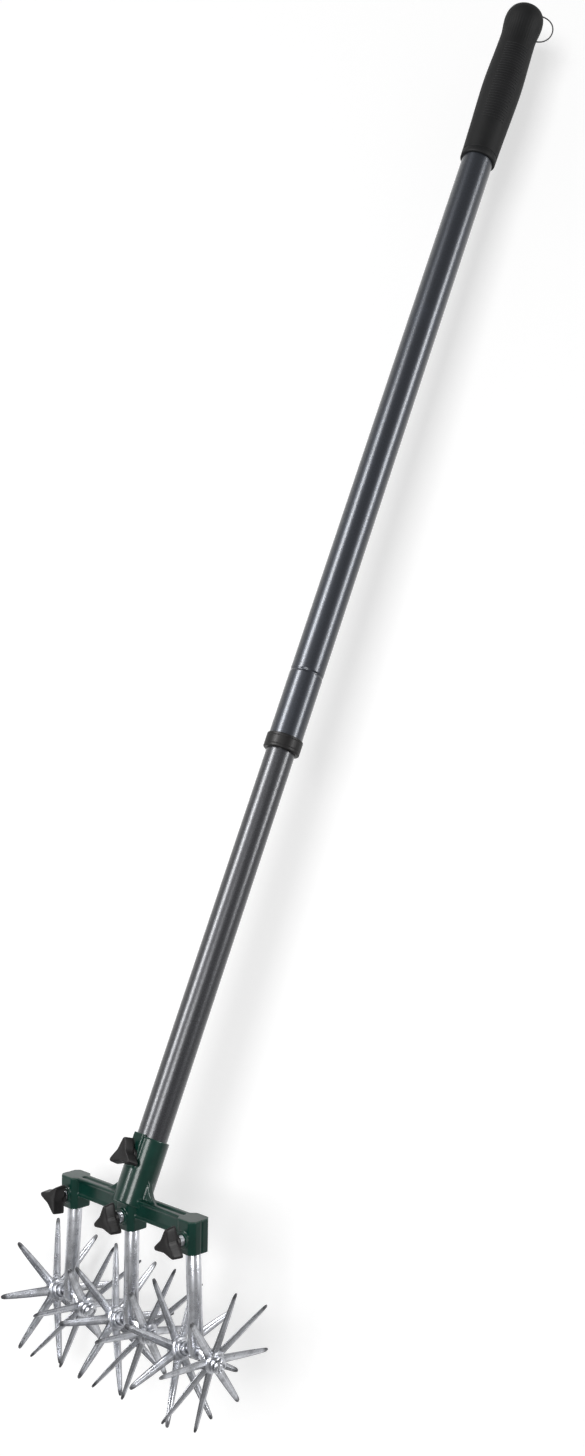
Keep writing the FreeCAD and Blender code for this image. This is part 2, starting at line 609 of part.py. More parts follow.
def make_end_cap():
    """Push-on cap over the axle's end, its flats tangent to the rod."""
    outer = CAP_D / 2
    end = CAP_AT + CAP_LENGTH
    cap = flat_sided([polygon(CAP_FLAT_COUNT, outer, CAP_AT), polygon(CAP_FLAT_COUNT, outer, end - CAP_EDGE),
                      polygon(CAP_FLAT_COUNT, outer - CAP_EDGE, end)])
    corner = AXLE_D / 2 / math.cos(math.pi / CAP_FLAT_COUNT)
    seat = flat_sided([polygon(CAP_FLAT_COUNT, corner, CAP_AT), polygon(CAP_FLAT_COUNT, corner, AXLE_REACH)])
    return along_x(cap.cut(seat))


def spike_ring(share, width, thick):
    """Section of a spike square to its length: two flats a side meet in a ridge."""
    radius = SPIKE_ROOT_R + share * (SPIKE_REACH - SPIKE_ROOT_R)
    x = (radius - SPIKE_ROOT_R) * math.tan(math.radians(SPIKE_CONE))
    ridge = thick / 2
    flank = thick / 6
    return [V(x - ridge, 0, radius), V(x - flank, width / 2, radius), V(x + flank, width / 2, radius),
            V(x + ridge, 0, radius), V(x + flank, -width / 2, radius), V(x - flank, -width / 2, radius)]


def make_wheel(clocking):
    """Cast star wheel round the X axis: a stepped hub with tapered, ridged spikes."""
    end = HUB_LENGTH / 2
    rim = HUB_RING_WIDTH / 2
    turn = clocking + 180.0 / HUB_FLAT_COUNT
    steps = ((HUB_BEAD_R, -end), (HUB_BEAD_R, -rim), (HUB_RING_R, -rim), (HUB_RING_R, rim),
             (HUB_NOSE_R, rim), (HUB_NOSE_R, end))
    hub = along_x(flat_sided([polygon(HUB_FLAT_COUNT, radius, height, turn) for radius, height in steps]))
    spike = flat_sided([spike_ring(*section) for section in SPIKE_SECTIONS], True)
    spikes = []
    for i in range(SPIKE_COUNT):
        copy = spike.copy()
        copy.rotate(V(0, 0, 0), X_AXIS, clocking + i * 360.0 / SPIKE_COUNT)
        spikes.append(copy)
    bore = Part.makeCylinder(AXLE_D / 2 + SPIN_GAP, HUB_LENGTH, V(-end, 0, 0), X_AXIS)
    return hub.fuse(spikes).cut(bore)


def wheel_on_axle(wheel, side):
    """Wheel set on the axle's left or right end; the castings are alike, so neither is turned round."""
    wheel.translate(V(side * WHEEL_PLANE, 0, 0))
    wheel.rotate(V(0, 0, 0), Y_AXIS, side * AXLE_DROOP)
    wheel.translate(V(side * AXLE_KINK, 0, AXLE_HEIGHT))
    return wheel


def write(name, shape):
    """Check that each piece is valid and save it under its node's name."""
    if not shape.isValid():
        raise ValueError(name + " is not a valid solid")
    print(name, "solids", len(shape.Solids), "volume", round(shape.Volume, 1))
    shape.exportStep(os.path.join("parts", name + ".step"))


def write_units():
    wheel = 0
    for unit, position in enumerate((-1, 0, 1), 1):
        write("tine_shaft_%d" % unit, splayed(make_shaft(), position))
        write("axle_%d" % unit, splayed(make_axle(), position))
        caps = Part.makeCompound([on_axle(make_end_cap(), side) for side in (-1, 1)])
        write("axle_caps_%d" % unit, splayed(caps, position))
        for side in (-1, 1):
            star = make_wheel(WHEEL_CLOCKING[wheel])
            wheel += 1
            write("star_wheel_%d" % wheel, splayed(wheel_on_axle(star, side), position))


def main():
    os.makedirs("parts", exist_ok=True)
    cord = make_cord()
    write("hand_grip", make_grip(cord))
    write("hanging_cord", cord)
    write("upper_tube", make_upper_tube())
    write("guide_collar", make_collar())
    write("lower_tube", make_lower_tube())
    write("lock_plug", make_lock_plug())
    write("lock_cam", make_lock_cam())
    write("lock_cap", make_lock_cap())
    write("cast_head", make_head())
    write_knobs()
    write_units()


main()
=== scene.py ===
"""Looks of the rotary hand cultivator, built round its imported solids.

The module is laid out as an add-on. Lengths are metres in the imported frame; numbers times MM are
millimetres.
"""
import json
import math

import bmesh
import bpy
from mathutils import Matrix, Vector


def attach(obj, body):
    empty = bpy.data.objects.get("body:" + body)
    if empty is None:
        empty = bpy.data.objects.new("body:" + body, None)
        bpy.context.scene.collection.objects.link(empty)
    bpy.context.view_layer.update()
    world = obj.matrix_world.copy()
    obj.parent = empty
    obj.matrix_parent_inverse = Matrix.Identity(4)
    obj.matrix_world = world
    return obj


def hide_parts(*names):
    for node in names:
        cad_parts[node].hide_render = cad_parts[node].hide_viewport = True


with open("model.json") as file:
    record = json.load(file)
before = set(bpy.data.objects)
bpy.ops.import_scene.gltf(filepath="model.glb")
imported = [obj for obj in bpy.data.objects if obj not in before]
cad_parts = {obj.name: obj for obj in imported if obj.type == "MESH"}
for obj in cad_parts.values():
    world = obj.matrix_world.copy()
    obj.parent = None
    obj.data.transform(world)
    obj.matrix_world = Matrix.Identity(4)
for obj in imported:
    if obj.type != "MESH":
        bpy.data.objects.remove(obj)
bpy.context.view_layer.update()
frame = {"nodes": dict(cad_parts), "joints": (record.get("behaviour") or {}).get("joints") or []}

bl_info = {
    "name": "Rotary hand cultivator",
    "version": (1, 0, 0),
    "blender": (4, 5, 0),
    "location": "3D View > Sidebar > Cultivator",
    "description": "Builds the visible pieces of a rotary hand cultivator round its solids",
    "category": "Object",
}

MM = 0.001
JOINTS = {joint["name"]: joint for joint in frame["joints"]}
SIDES = (("left", -1), ("middle", 0), ("right", 1))
ROUND = 96                     # segments round a tube
KNOB_DROP = 12.8 * MM          # from the head's middle down to the lower knobs


# Sizes and colours that a user would change

def length(name, text, millimetres):
    return bpy.props.FloatProperty(name=name, description=text, default=millimetres * MM, min=0.0,
                                   precision=5, subtype="DISTANCE", unit="LENGTH")


def angle(name, text, degrees):
    return bpy.props.FloatProperty(name=name, description=text, default=math.radians(degrees),
                                   subtype="ANGLE", unit="ROTATION")


def count(name, text, number):
    return bpy.props.IntProperty(name=name, description=text, default=number, min=1)


def share(name, text, number):
    return bpy.props.FloatProperty(name=name, description=text, default=number, min=0.0, max=1.0,
                                   subtype="FACTOR")


def colour(name, text, value):
    return bpy.props.FloatVectorProperty(name=name, description=text, default=value, size=3,
                                         min=0.0, max=1.0, subtype="COLOR")


class CULTIVATOR_PG_handle(bpy.types.PropertyGroup):
    lean: angle("Lean", "How far the handle leans back from the tine shafts", 24.5)
    lower_radius: length("Lower tube radius", "Outside radius of the inner tube", 12.5)
    lower_bore: length("Lower tube bore", "Inside radius of the inner tube", 11.25)
    lower_start: length("Lower tube start", "Lower end of the inner tube along the handle", 5.0)
    lower_end: length("Lower tube end", "Upper end of the inner tube along the handle", 681.0)
    upper_radius: length("Upper tube radius", "Outside radius of the outer tube", 14.6)
    upper_bore: length("Upper tube bore", "Inside radius of the outer tube", 13.4)
    upper_start: length("Upper tube start", "Lower end of the outer tube along the handle", 383.0)
    upper_end: length("Upper tube end", "Upper end of the outer tube along the handle", 1151.0)
    crimp_up: length("Groove height", "From the outer tube's end to its rolled groove", 70.0)
    crimp_depth: length("Groove depth", "Depth of the rolled groove", 0.6)
    collar_radius: length("Collar radius", "Outside radius of the guide collar", 15.9)
    collar_length: length("Collar length", "Length of the guide collar", 13.0)


class CULTIVATOR_PG_grip(bpy.types.PropertyGroup):
    start: length("Grip start", "Lower end of the grip along the handle", 979.0)
    reach: length("Grip length", "Length of the grip", 181.4)
    end_wall: length("End wall", "Rubber past the end of the tube", 9.4)
    lip_up: length("Lip", "Height of the rubber's lower lip above the grip's start", 3.5)
    ribs: count("Finger ribs", "Raised ribs across the fingers' side", 30)
    rib_pitch: length("Rib pitch", "Distance between two finger ribs", 2.9)
    rib_first: length("First rib", "Middle of the lowest rib above the grip's end", 43.0)
    rib_radius: length("Rib radius", "Radius of a rib's own section", 0.75)
    rib_proud: length("Rib height", "How far a rib stands out", 0.45)
    rib_facing: angle("Rib facing", "From +X to the middle of the ribs", -40.0)
    rib_spread: angle("Rib spread", "How far round the grip a rib reaches", 72.0)
    cord_thick: length("Cord thickness", "Diameter of the hanging cord", 1.3)
    cord_side: angle("Cord side", "From +X to the plane of the hanging cord", 41.5)


class CULTIVATOR_PG_head(bpy.types.PropertyGroup):
    voxel: length("Casting grain", "Grid on which the casting's edges are rounded", 0.6)
    rounding: count("Casting rounding", "Smoothing passes over the casting", 3)
    knob_reach: length("Knob reach", "From the knob's axis to the tip of an arm", 13.6)
    knob_thick: length("Knob thickness", "Thickness of the star", 9.6)
    knob_neck: length("Knob neck", "Height of the round neck under the star", 2.0)
    stud_radius: length("Stud radius", "Radius of the stud over its thread", 4.0)
    stud_pitch: length("Thread pitch", "Rise of the stud's thread in one turn", 1.25)


class CULTIVATOR_PG_tines(bpy.types.PropertyGroup):
    pitch: length("Shaft pitch", "Distance between two tine shafts", 71.0)
    splay: angle("Splay", "How far the outer shafts lean outwards", 3.5)
    drop: length("Axle drop", "From the head's middle down to the axle", 98.8)
    shaft_radius: length("Shaft radius", "Outside radius of a tine shaft", 5.9)
    foot_thick: length("Foot thickness", "Thickness of the pressed foot", 8.0)
    foot_width: length("Foot width", "Width of the pressed foot", 13.6)
    foot_rise: length("Foot rise", "Flat part of the foot above the axle", 9.0)
    foot_taper: length("Foot taper", "From the flat foot to the round tube", 24.0)
    axle_radius: length("Axle radius", "Radius of the axle", 3.0)
    kink: length("Axle kink", "Half the straight middle of an axle", 6.0)
    droop: angle("Axle droop", "How far both ends of an axle point down", 17.5)
    cap_radius: length("Cap radius", "Outside radius of a push-on cap", 5.7)
    cap_length: length("Cap length", "Length of a push-on cap", 3.2)


class CULTIVATOR_PG_wheels(bpy.types.PropertyGroup):
    spikes: count("Spikes", "Spikes on one star wheel", 8)
    reach: length("Spike reach", "From the wheel's axis to a spike's tip", 57.5)
    root: length("Spike root", "From the wheel's axis to a spike's root", 6.4)
    cone: angle("Spike lean", "How far the spikes lean towards +X", 3.5)
    hub_length: length("Hub length", "Length of the hub", 13.0)
    hub_ring: length("Hub ring", "Radius of the ring that carries the spikes", 9.2)
    hub_bead: length("Hub bead", "Radius of the bead on the left", 7.2)
    hub_nose: length("Hub nose", "Radius of the nose on the right", 6.6)
    hub_bore: length("Hub bore", "Radius of the hub's bore", 3.05)


class CULTIVATOR_PG_finish(bpy.types.PropertyGroup):
    rubber: colour("Rubber", "Grip rubber", (0.0062, 0.0065, 0.0070))
    plastic: colour("Black plastic", "Knobs and collar", (0.0095, 0.0088, 0.0092))
    lock: colour("White plastic", "Twist lock", (0.62, 0.60, 0.55))
    coat: colour("Grey coat", "Coat of the upper tube", (0.030, 0.035, 0.046))
    coat_fine: colour("Fine grey coat", "Coat of the lower tube", (0.036, 0.037, 0.042))
    enamel: colour("Green enamel", "Enamel of the cast head", (0.0022, 0.0330, 0.0235))
    zinc: colour("Zinc", "Zinc plate of shafts and studs", (0.50, 0.51, 0.54))
    zinc_cast: colour("Cast zinc", "Zinc of the star wheels", (0.47, 0.48, 0.51))
    wear: share("Wear", "How much edges and faces are worn", 0.35)


class CULTIVATOR_PG_stage(bpy.types.PropertyGroup):
    lens: bpy.props.FloatProperty(name="Lens", description="Focal length on a 36 mm sensor", default=40.82,
                                  min=1.0, unit="CAMERA")
    azimuth: angle("Camera azimuth", "Camera's side of the object", 44.2)
    elevation: angle("Camera elevation", "Camera's height over the horizon", 2.7)
    roll: angle("Camera roll", "Turn of the camera about its own axis", 1.0)
    key: bpy.props.FloatProperty(name="Key light", description="Power of the large soft light",
                                 default=50.0, min=0.0, unit="POWER")
    side: bpy.props.FloatProperty(name="Side light", description="Power of the left strip, twice the right one's",
                                  default=84.0, min=0.0, unit="POWER")
    strip_width: length("Strip width", "Width of both strips", 500.0)


GROUPS = {
    "cultivator_handle": CULTIVATOR_PG_handle,
    "cultivator_grip": CULTIVATOR_PG_grip,
    "cultivator_head": CULTIVATOR_PG_head,
    "cultivator_tines": CULTIVATOR_PG_tines,
    "cultivator_wheels": CULTIVATOR_PG_wheels,
    "cultivator_finish": CULTIVATOR_PG_finish,
    "cultivator_stage": CULTIVATOR_PG_stage,
}


# Node trees

class Value:
    """A node's output that Python's arithmetic works on."""

    def __init__(self, graph, socket):
        self.graph = graph
        self.socket = socket

    def __add__(self, other):
        return self.graph.maths("ADD", self, other)

    def __sub__(self, other):
        return self.graph.maths("SUBTRACT", self, other)

    def __rsub__(self, other):
        return self.graph.maths("SUBTRACT", other, self)

    def __mul__(self, other):
        return self.graph.maths("MULTIPLY", self, other)

    def __truediv__(self, other):
        return self.graph.maths("DIVIDE", self, other)

    def __pow__(self, other):
        return self.graph.maths("POWER", self, other)

    __radd__ = __add__
    __rmul__ = __mul__


class Graph:
    """Adds nodes to a shader or geometry tree."""

    def __init__(self, tree):
        self.tree = tree
        tree.nodes.clear()

    def node(self, kind, settings=None, inputs=None):
        """A node of one kind: its settings first, then the values or links of its sockets."""
        node = self.tree.nodes.new(kind)
        for key, value in (settings or {}).items():
            if key == "stops":
                self.set_stops(node.color_ramp, value)
            else:
                setattr(node, key, value)
        for key, value in (inputs or {}).items():
            if isinstance(value, Value):
                self.tree.links.new(value.socket, node.inputs[key])
            else:
                node.inputs[key].default_value = value
        return node

    def set_stops(self, ramp, stops):
        while len(ramp.elements) < len(stops):
            ramp.elements.new(0.5)
        for element, (place, grey) in zip(ramp.elements, stops):
            element.position = place
            element.color = (grey, grey, grey, 1.0)

    def out(self, kind, output, settings=None, inputs=None):
        return Value(self, self.node(kind, settings, inputs).outputs[output])

    def maths(self, operation, a, b=0.0, clamp=False):
        settings = {"operation": operation, "use_clamp": clamp}
        return self.out("ShaderNodeMath", 0, settings, {0: a, 1: b})


class Finish(Graph):
    """A material of one Principled surface with procedural detail in object coordinates."""

    def __init__(self, slot, constants):
        self.material = bpy.data.materials.new("finish_" + slot)
        self.material["slot"] = slot
        self.material.use_nodes = True
        super().__init__(self.material.node_tree)
        self.coords = self.out("ShaderNodeTexCoord", "Object")
        self.surface = self.node("ShaderNodeBsdfPrincipled", {}, constants)
        self.node("ShaderNodeOutputMaterial", {}, {"Surface": Value(self, self.surface.outputs[0])})

    def along(self, direction):
        """Coordinates turned so that their Z runs along a direction."""
        turn = Vector(direction).rotation_difference(Vector((0, 0, 1))).to_euler()
        return self.out("ShaderNodeMapping", 0, {}, {"Vector": self.coords, "Rotation": turn})

    def squeezed(self, coords, scale):
        return self.out("ShaderNodeMapping", 0, {}, {"Vector": coords, "Scale": scale})

    def noise(self, scale, detail=3.0, rough=0.5, coords=None):
        inputs = {"Vector": coords or self.coords, "Scale": scale, "Detail": detail, "Roughness": rough}
        return self.out("ShaderNodeTexNoise", "Fac", {}, inputs)

    def ramp(self, value, *stops):
        return self.out("ShaderNodeValToRGB", "Color", {"stops": stops}, {"Fac": value})

    def edges(self, low, high):
        """From 0 on flat faces to 1 on outer edges, for worn edges and for painted edge highlights."""
        sharp = self.out("ShaderNodeNewGeometry", "Pointiness")
        return self.ramp(sharp, (low, 0.0), (high, 1.0))

    def hollows(self, low, high):
        """From 1 in inner corners to 0 on open faces."""
        sharp = self.out("ShaderNodeNewGeometry", "Pointiness")
        return self.ramp(sharp, (low, 1.0), (high, 0.0))

    def mark(self, name):
        """A number stored on the mesh's own points, 0 where there is none."""
        return self.out("ShaderNodeAttribute", "Fac", {"attribute_name": name})

    def tint(self, factor, a, b):
        """A colour between two, each a triple or a value."""
        inputs = {0: factor}
        for key, value in ((6, a), (7, b)):
            inputs[key] = value if isinstance(value, Value) else (*value, 1.0)
        return self.out("ShaderNodeMix", 2, {"data_type": "RGBA"}, inputs)

    def bump(self, height, strength, distance):
        inputs = {"Height": height, "Strength": strength, "Distance": distance}
        return self.out("ShaderNodeBump", "Normal", {}, inputs)

    def dress(self, **links):
        """Link values to the surface's sockets, underscores standing for spaces."""
        for key, value in links.items():
            self.tree.links.new(value.socket, self.surface.inputs[key.replace("_", " ")])
        return self.material


def scaled(base, factor):
    return tuple(min(1.0, channel * factor) for channel in base)


def rubber_finish(look):
    base = tuple(look.rubber)
    make = Finish("rubber_black", {"Specular IOR Level": 0.16})
    cloud = make.noise(60.0, 4.0, 0.6)
    grain = make.noise(1500.0, 2.0)
    pores = make.noise(420.0, 3.0, 0.7)
    skin = make.tint(make.ramp(cloud, (0.35, 0.0), (0.7, 1.0)), scaled(base, 0.75), scaled(base, 1.35))
    rubbed = make.edges(0.505, 0.56) * (0.25 + 0.5 * look.wear)
    return make.dress(Base_Color=make.tint(rubbed, skin, scaled(base, 3.0)),
                      Roughness=0.52 + 0.18 * cloud - 0.1 * rubbed,
                      Normal=make.bump(0.6 * grain + 0.8 * pores, 0.35, 0.25 * MM))


def plastic_finish(look):
    base = tuple(look.plastic)
    make = Finish("black_plastic", {"Specular IOR Level": 0.22})
    cloud = make.noise(140.0, 4.0, 0.6)
    grain = make.noise(2600.0, 2.0)
    rubbed = make.edges(0.51, 0.58) * (0.3 + 0.6 * look.wear)
    skin = make.tint(cloud, scaled(base, 0.8), scaled(base, 1.3))
    return make.dress(Base_Color=make.tint(rubbed, skin, scaled(base, 3.2)),
                      Roughness=0.34 + 0.16 * cloud + 0.08 * rubbed,
                      Normal=make.bump(grain, 0.25, 0.12 * MM))


def lock_finish(look):
    base = tuple(look.lock)
    make = Finish("white_plastic", {"Specular IOR Level": 0.5})
    cloud = make.noise(90.0, 4.0)
    grease = make.ramp(make.noise(45.0, 3.0, 0.6), (0.5, 0.0), (0.72, 1.0))
    return make.dress(Base_Color=make.tint(grease * 0.5, base, scaled(base, 0.55)),
                      Roughness=0.35 + 0.2 * cloud,
                      Normal=make.bump(cloud, 0.1, 0.1 * MM))


def coat_finish(look, name, base, grain_scale, spark, ripple, direction):
    """Metallic coat on a drawn tube: fine flakes, a dimpled skin and long drawing marks."""
    base = tuple(base)
    make = Finish(name, {"Coat Roughness": 0.27, "Specular IOR Level": 0.2, "Coat IOR": 1.5})
    length_wise = make.along(direction)
    drawn = make.noise(260.0, 3.0, 0.6, make.squeezed(length_wise, (1.0, 1.0, 0.035)))
    flakes = make.noise(grain_scale, 3.0, 0.65)
    cells = make.out("ShaderNodeTexVoronoi", "Distance", {}, {"Vector": make.coords, "Scale": grain_scale * 0.55})
    dust = make.noise(24.0, 5.0, 0.6)
    glint = make.ramp(flakes, (0.42, 0.0), (0.66, 1.0))
    body = make.tint(glint * spark, scaled(base, 0.72), scaled(base, 1.9))
    body = make.tint(make.ramp(drawn, (0.35, 0.0), (0.75, 1.0)) * 0.35, body, scaled(base, 0.55))
    scuffs = make.ramp(dust, (0.62, 0.0), (0.74, 1.0)) * look.wear
    return make.dress(Base_Color=make.tint(scuffs * 0.35, body, scaled(base, 2.2)),
                      Metallic=0.42 + 0.3 * glint,
                      Roughness=0.33 + 0.12 * drawn + 0.12 * scuffs - 0.06 * glint,
                      Coat_Weight=0.7 - 0.3 * scuffs,
                      Normal=make.bump(0.5 * cells + 0.6 * flakes + ripple * drawn, 0.22, 0.12 * MM))


def enamel_finish(look):
    """Glossy enamel over a rough casting, with a painted highlight on its edges, where the enamel also thins and
    goes pale.
    """
    base = tuple(look.enamel)
    make = Finish("green_enamel", {"Coat Roughness": 0.17, "Specular IOR Level": 0.15, "Coat IOR": 1.45})
    cloud = make.noise(55.0, 4.0, 0.55)
    casting = make.noise(210.0, 4.0, 0.6)
    peel = make.noise(900.0, 2.0)
    edge = make.edges(0.515, 0.57)
    # Painted highlight: edges are tinted a paler green, partly for the thinner enamel there, mostly as the gloss
    # lines that light draws along them.
    thin_edge_highlight = edge * (0.35 + 0.5 * casting)
    chips = make.ramp(make.noise(330.0, 3.0, 0.7), (0.66, 0.0), (0.7, 1.0)) * edge * look.wear
    skin = make.tint(make.ramp(cloud, (0.3, 0.0), (0.72, 1.0)), scaled(base, 0.78), scaled(base, 1.35))
    skin = make.tint(thin_edge_highlight, skin, (base[0] * 9 + 0.02, base[1] * 3.2, base[2] * 3.4))
    # Painted shade: inner corners are darkened to 0.4 of the enamel's colour; the same darkening marks the
    # casting's seams.
    seams_and_painted_shade = make.hollows(0.43, 0.49) * 0.7
    skin = make.tint(seams_and_painted_shade, skin, scaled(base, 0.4))
    return make.dress(Base_Color=make.tint(chips, skin, (0.30, 0.31, 0.30)),
                      Roughness=0.24 + 0.16 * cloud + 0.3 * chips,
                      Metallic=0.75 * chips,
                      Coat_Weight=0.42 - 0.4 * chips,
                      Normal=make.bump(0.9 * casting + 0.16 * peel, 0.3, 0.22 * MM))


def zinc_finish(look, name, base, streak_scale, stretch, dark, dimple):
    """Bright zinc: pale crystals, dark streaks painted as reflections, soft dents, rubbed edges, and painted shade
    in hollows and on spike rims.
    """
    base = tuple(base)
    make = Finish(name, {"Specular IOR Level": 0.5})
    streaks = make.noise(streak_scale, 5.0, 0.62, make.squeezed(make.coords, stretch))
    crystal = make.out("ShaderNodeTexVoronoi", "Color", {}, {"Vector": make.coords, "Scale": 420.0})
    patches = make.noise(120.0, 4.0, 0.65)
    fine = make.noise(1300.0, 3.0, 0.6)
    # Painted reflection: dark streaks stand in for dark surroundings mirrored by the bright metal; where they lie,
    # the metal is also less metallic and rougher.
    painted_dark_streaks = make.ramp(streaks, (0.36, 1.0), (0.50, 0.0)) * dark
    # Painted shade: inner corners such as spike roots and thread roots are darkened to 0.14 of the zinc.
    painted_hollow_shade = make.hollows(0.43, 0.496) * 0.8
    edge = make.edges(0.51, 0.56) * (0.4 + 0.6 * look.wear)
    # Painted shade: each blade darkens towards its rims, as dark outlines round the spikes.
    rim = make.ramp(make.mark("rim") + 0.3 * patches, (0.80, 0.0), (1.08, 1.0)) * 0.62
    tip = make.ramp(make.mark("tip") + 0.12 * patches, (0.93, 0.0), (1.03, 1.0)) * 0.8
    skin = make.tint(make.ramp(patches, (0.3, 0.0), (0.7, 1.0)), scaled(base, 0.78), scaled(base, 1.22))
    skin = make.tint(make.ramp(crystal, (0.0, 0.0), (1.0, 1.0)) * 0.18, skin, scaled(base, 1.4))
    skin = make.tint(painted_dark_streaks, skin, scaled(base, 0.20))
    skin = make.tint(edge, skin, scaled(base, 1.5))
    # Painted shade in the hollows and on the spike rims, and soil wear on the tips, darken the skin.
    for mask, depth in ((painted_hollow_shade, 0.14), (rim, 0.16), (tip, 0.06)):
        skin = make.tint(mask, skin, scaled(base, depth))
    return make.dress(Base_Color=skin,
                      Metallic=0.92 - 0.3 * painted_dark_streaks,
                      Roughness=0.18 + 0.2 * patches + 0.15 * painted_dark_streaks + 0.2 * tip,
                      Normal=make.bump(dimple * patches + 0.3 * fine + 0.5 * streaks, 0.45, 0.3 * MM))


def cord_finish():
    """Black braided cord with lighter strands."""
    make = Finish("cord", {"Specular IOR Level": 0.4})
    strands = make.out("ShaderNodeTexVoronoi", "Distance", {}, {"Vector": make.coords, "Scale": 1900.0})
    fluff = make.noise(900.0, 3.0)
    return make.dress(Base_Color=make.tint(strands, (0.030, 0.030, 0.031), (0.090, 0.090, 0.092)),
                      Roughness=0.6 + 0.2 * fluff,
                      Normal=make.bump(strands, 0.5, 0.15 * MM))


def finishes():
    """Every finish by its slot's name, made once."""
    made = {material["slot"]: material for material in bpy.data.materials if material.get("slot")}
    if made:
        return made
    look = bpy.context.scene.cultivator_finish
    handle = handle_place().to_3x3() @ Vector((0, 0, 1))
    rubber_finish(look)
    plastic_finish(look)
    lock_finish(look)
    enamel_finish(look)
    cord_finish()
    coat_finish(look, "grey_coat", look.coat, 950.0, 0.5, 1.3, handle)
    coat_finish(look, "grey_coat_fine", look.coat_fine, 1300.0, 0.95, 0.5, handle)
    zinc_finish(look, "zinc", look.zinc, 330.0, (1.0, 1.0, 0.06), 0.75, 0.8)
    zinc_finish(look, "zinc_cast", look.zinc_cast, 110.0, (1.0, 1.0, 1.0), 0.45, 1.2)
    return finishes()


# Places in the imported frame

def head_z():
    """Height at which the handle's axis meets the middle shaft's."""
    return JOINTS["knob_middle_turn"]["pos_m"][2] + KNOB_DROP


def handle_place():
    lean = bpy.context.scene.cultivator_handle.lean
    return Matrix.Translation((0, 0, head_z())) @ Matrix.Rotation(-lean, 4, "X")


def unit_place(position):
    """Frame of a tine unit, splayed about the height of its knob."""
    tines = bpy.context.scene.cultivator_tines
    knee = Matrix.Translation((0, 0, head_z() - KNOB_DROP))
    splay = Matrix.Rotation(-position * tines.splay, 4, "Y")
    return Matrix.Translation((position * tines.pitch, 0, 0)) @ knee @ splay @ knee.inverted()


def wheel_place(number):
    """Frame of a star wheel from its joint, X along the axle."""
    tines = bpy.context.scene.cultivator_tines
    position = (number - 1) // 2 - 1
    side = -1 if number % 2 else 1
    turn = Matrix.Rotation(side * tines.droop - position * tines.splay, 4, "Y")
    return Matrix.Translation(JOINTS["wheel_%d_spin" % number]["pos_m"]) @ turn


def knob_place(name):
    """Frame of a knob from its joint, Z pointing out of its boss and X to the right."""
    joint = JOINTS["knob_%s_turn" % name]
    out = Vector(joint["axis"]).normalized()
    turn = Matrix.Rotation(math.radians(90), 3, "X")
    facing = (turn @ Vector((0, 0, 1))).rotation_difference(out).to_matrix() @ turn
    return Matrix.Translation(joint["pos_m"]) @ facing.to_4x4()


# Mesh code

def add_mesh(name, verts, faces, place, material, bend=35.0):
    """A smooth mesh object at the origin, its place in its vertices, its faces pointing out."""
    mesh = bpy.data.meshes.new(name)
    mesh.from_pydata([place @ Vector(v) for v in verts], [], faces)
    work = bmesh.new()
    work.from_mesh(mesh)
    bmesh.ops.remove_doubles(work, verts=work.verts, dist=1e-7)
    bmesh.ops.recalc_face_normals(work, faces=work.faces)
    work.to_mesh(mesh)
    work.free()
    mesh.shade_smooth()
    mesh.set_sharp_from_angle(angle=math.radians(bend))
    piece = bpy.data.objects.new(name, mesh)
    bpy.context.collection.objects.link(piece)
    mesh.materials.append(material)
    return piece


def turned(profile, segments=ROUND):
    """Vertices and faces of (radius, height) points turned about Z; radius 0 is a pole."""
    verts, rows = [], []
    for radius, height in profile:
        if radius < 1e-9:
            rows.append([len(verts)] * segments)
            verts.append((0, 0, height))
            continue
        rows.append(list(range(len(verts), len(verts) + segments)))
        verts += [(radius * math.cos(2 * math.pi * i / segments), radius * math.sin(2 * math.pi * i / segments),
                   height) for i in range(segments)]
    return verts, skinned(rows)


def skinned(rows):
    """Faces between rows of vertex numbers that run round a shape."""
    faces = []
    for low, high in zip(rows, rows[1:]):
        for i in range(len(low)):
            j = (i + 1) % len(low)
            face = []
            for corner in (low[i], low[j], high[j], high[i]):
                if corner not in face:
                    face.append(corner)
            if len(face) > 2:
                faces.append(face)
    return faces


def lofted(rings):
    """Vertices and faces through rings of equally many points, closed at both ends."""
    n = len(rings[0])
    verts = [point for ring in rings for point in ring]
    rows = [list(range(i * n, i * n + n)) for i in range(len(rings))]
    return verts, skinned(rows) + [rows[0][::-1], rows[-1]]


def softened(profile, radius, closed=False):
    """A profile whose corners are rounded, with a support point on each side of a corner."""
    points = [Vector(p) for p in profile]
    last = len(points)
    result = []
    for i, here in enumerate(points):
        if not closed and i in (0, last - 1):
            result.append(here)
            continue
        before, after = points[i - 1] - here, points[(i + 1) % last] - here
        reach = min(radius, 0.4 * before.length, 0.4 * after.length)
        a, b = before.normalized(), after.normalized()
        for back in (min(1.5 * reach, 0.48 * before.length), reach):
            result.append(here + a * back)
        for t in (0.25, 0.5, 0.75):
            result.append(here + a * reach * (1 - t) ** 2 + b * reach * t ** 2)
        for back in (reach, min(1.5 * reach, 0.48 * after.length)):
            result.append(here + b * back)
    if closed:
        result.append(result[0])
    return [tuple(p) for p in result]


def flowing(points, steps):
    """Points on a smooth curve through the given ones."""
    points = [Vector(p) for p in points]
    ends = [2 * points[0] - points[1]] + points + [2 * points[-1] - points[-2]]
    result = []
    for a, b, c, d in zip(ends, ends[1:], ends[2:], ends[3:]):
        for i in range(steps):
            t = i / steps
            result.append(0.5 * (2 * b + (c - a) * t + (2 * a - 5 * b + 4 * c - d) * t * t
                                 + (3 * b - a - 3 * c + d) * t ** 3))
    result.append(points[-1])
    return result


def baked(piece):
    """Turn what the piece's modifiers make into its own plain mesh."""
    evaluated = piece.evaluated_get(bpy.context.evaluated_depsgraph_get())
    mesh = bpy.data.meshes.new_from_object(evaluated)
    piece.modifiers.clear()
    piece.data = mesh
    return piece


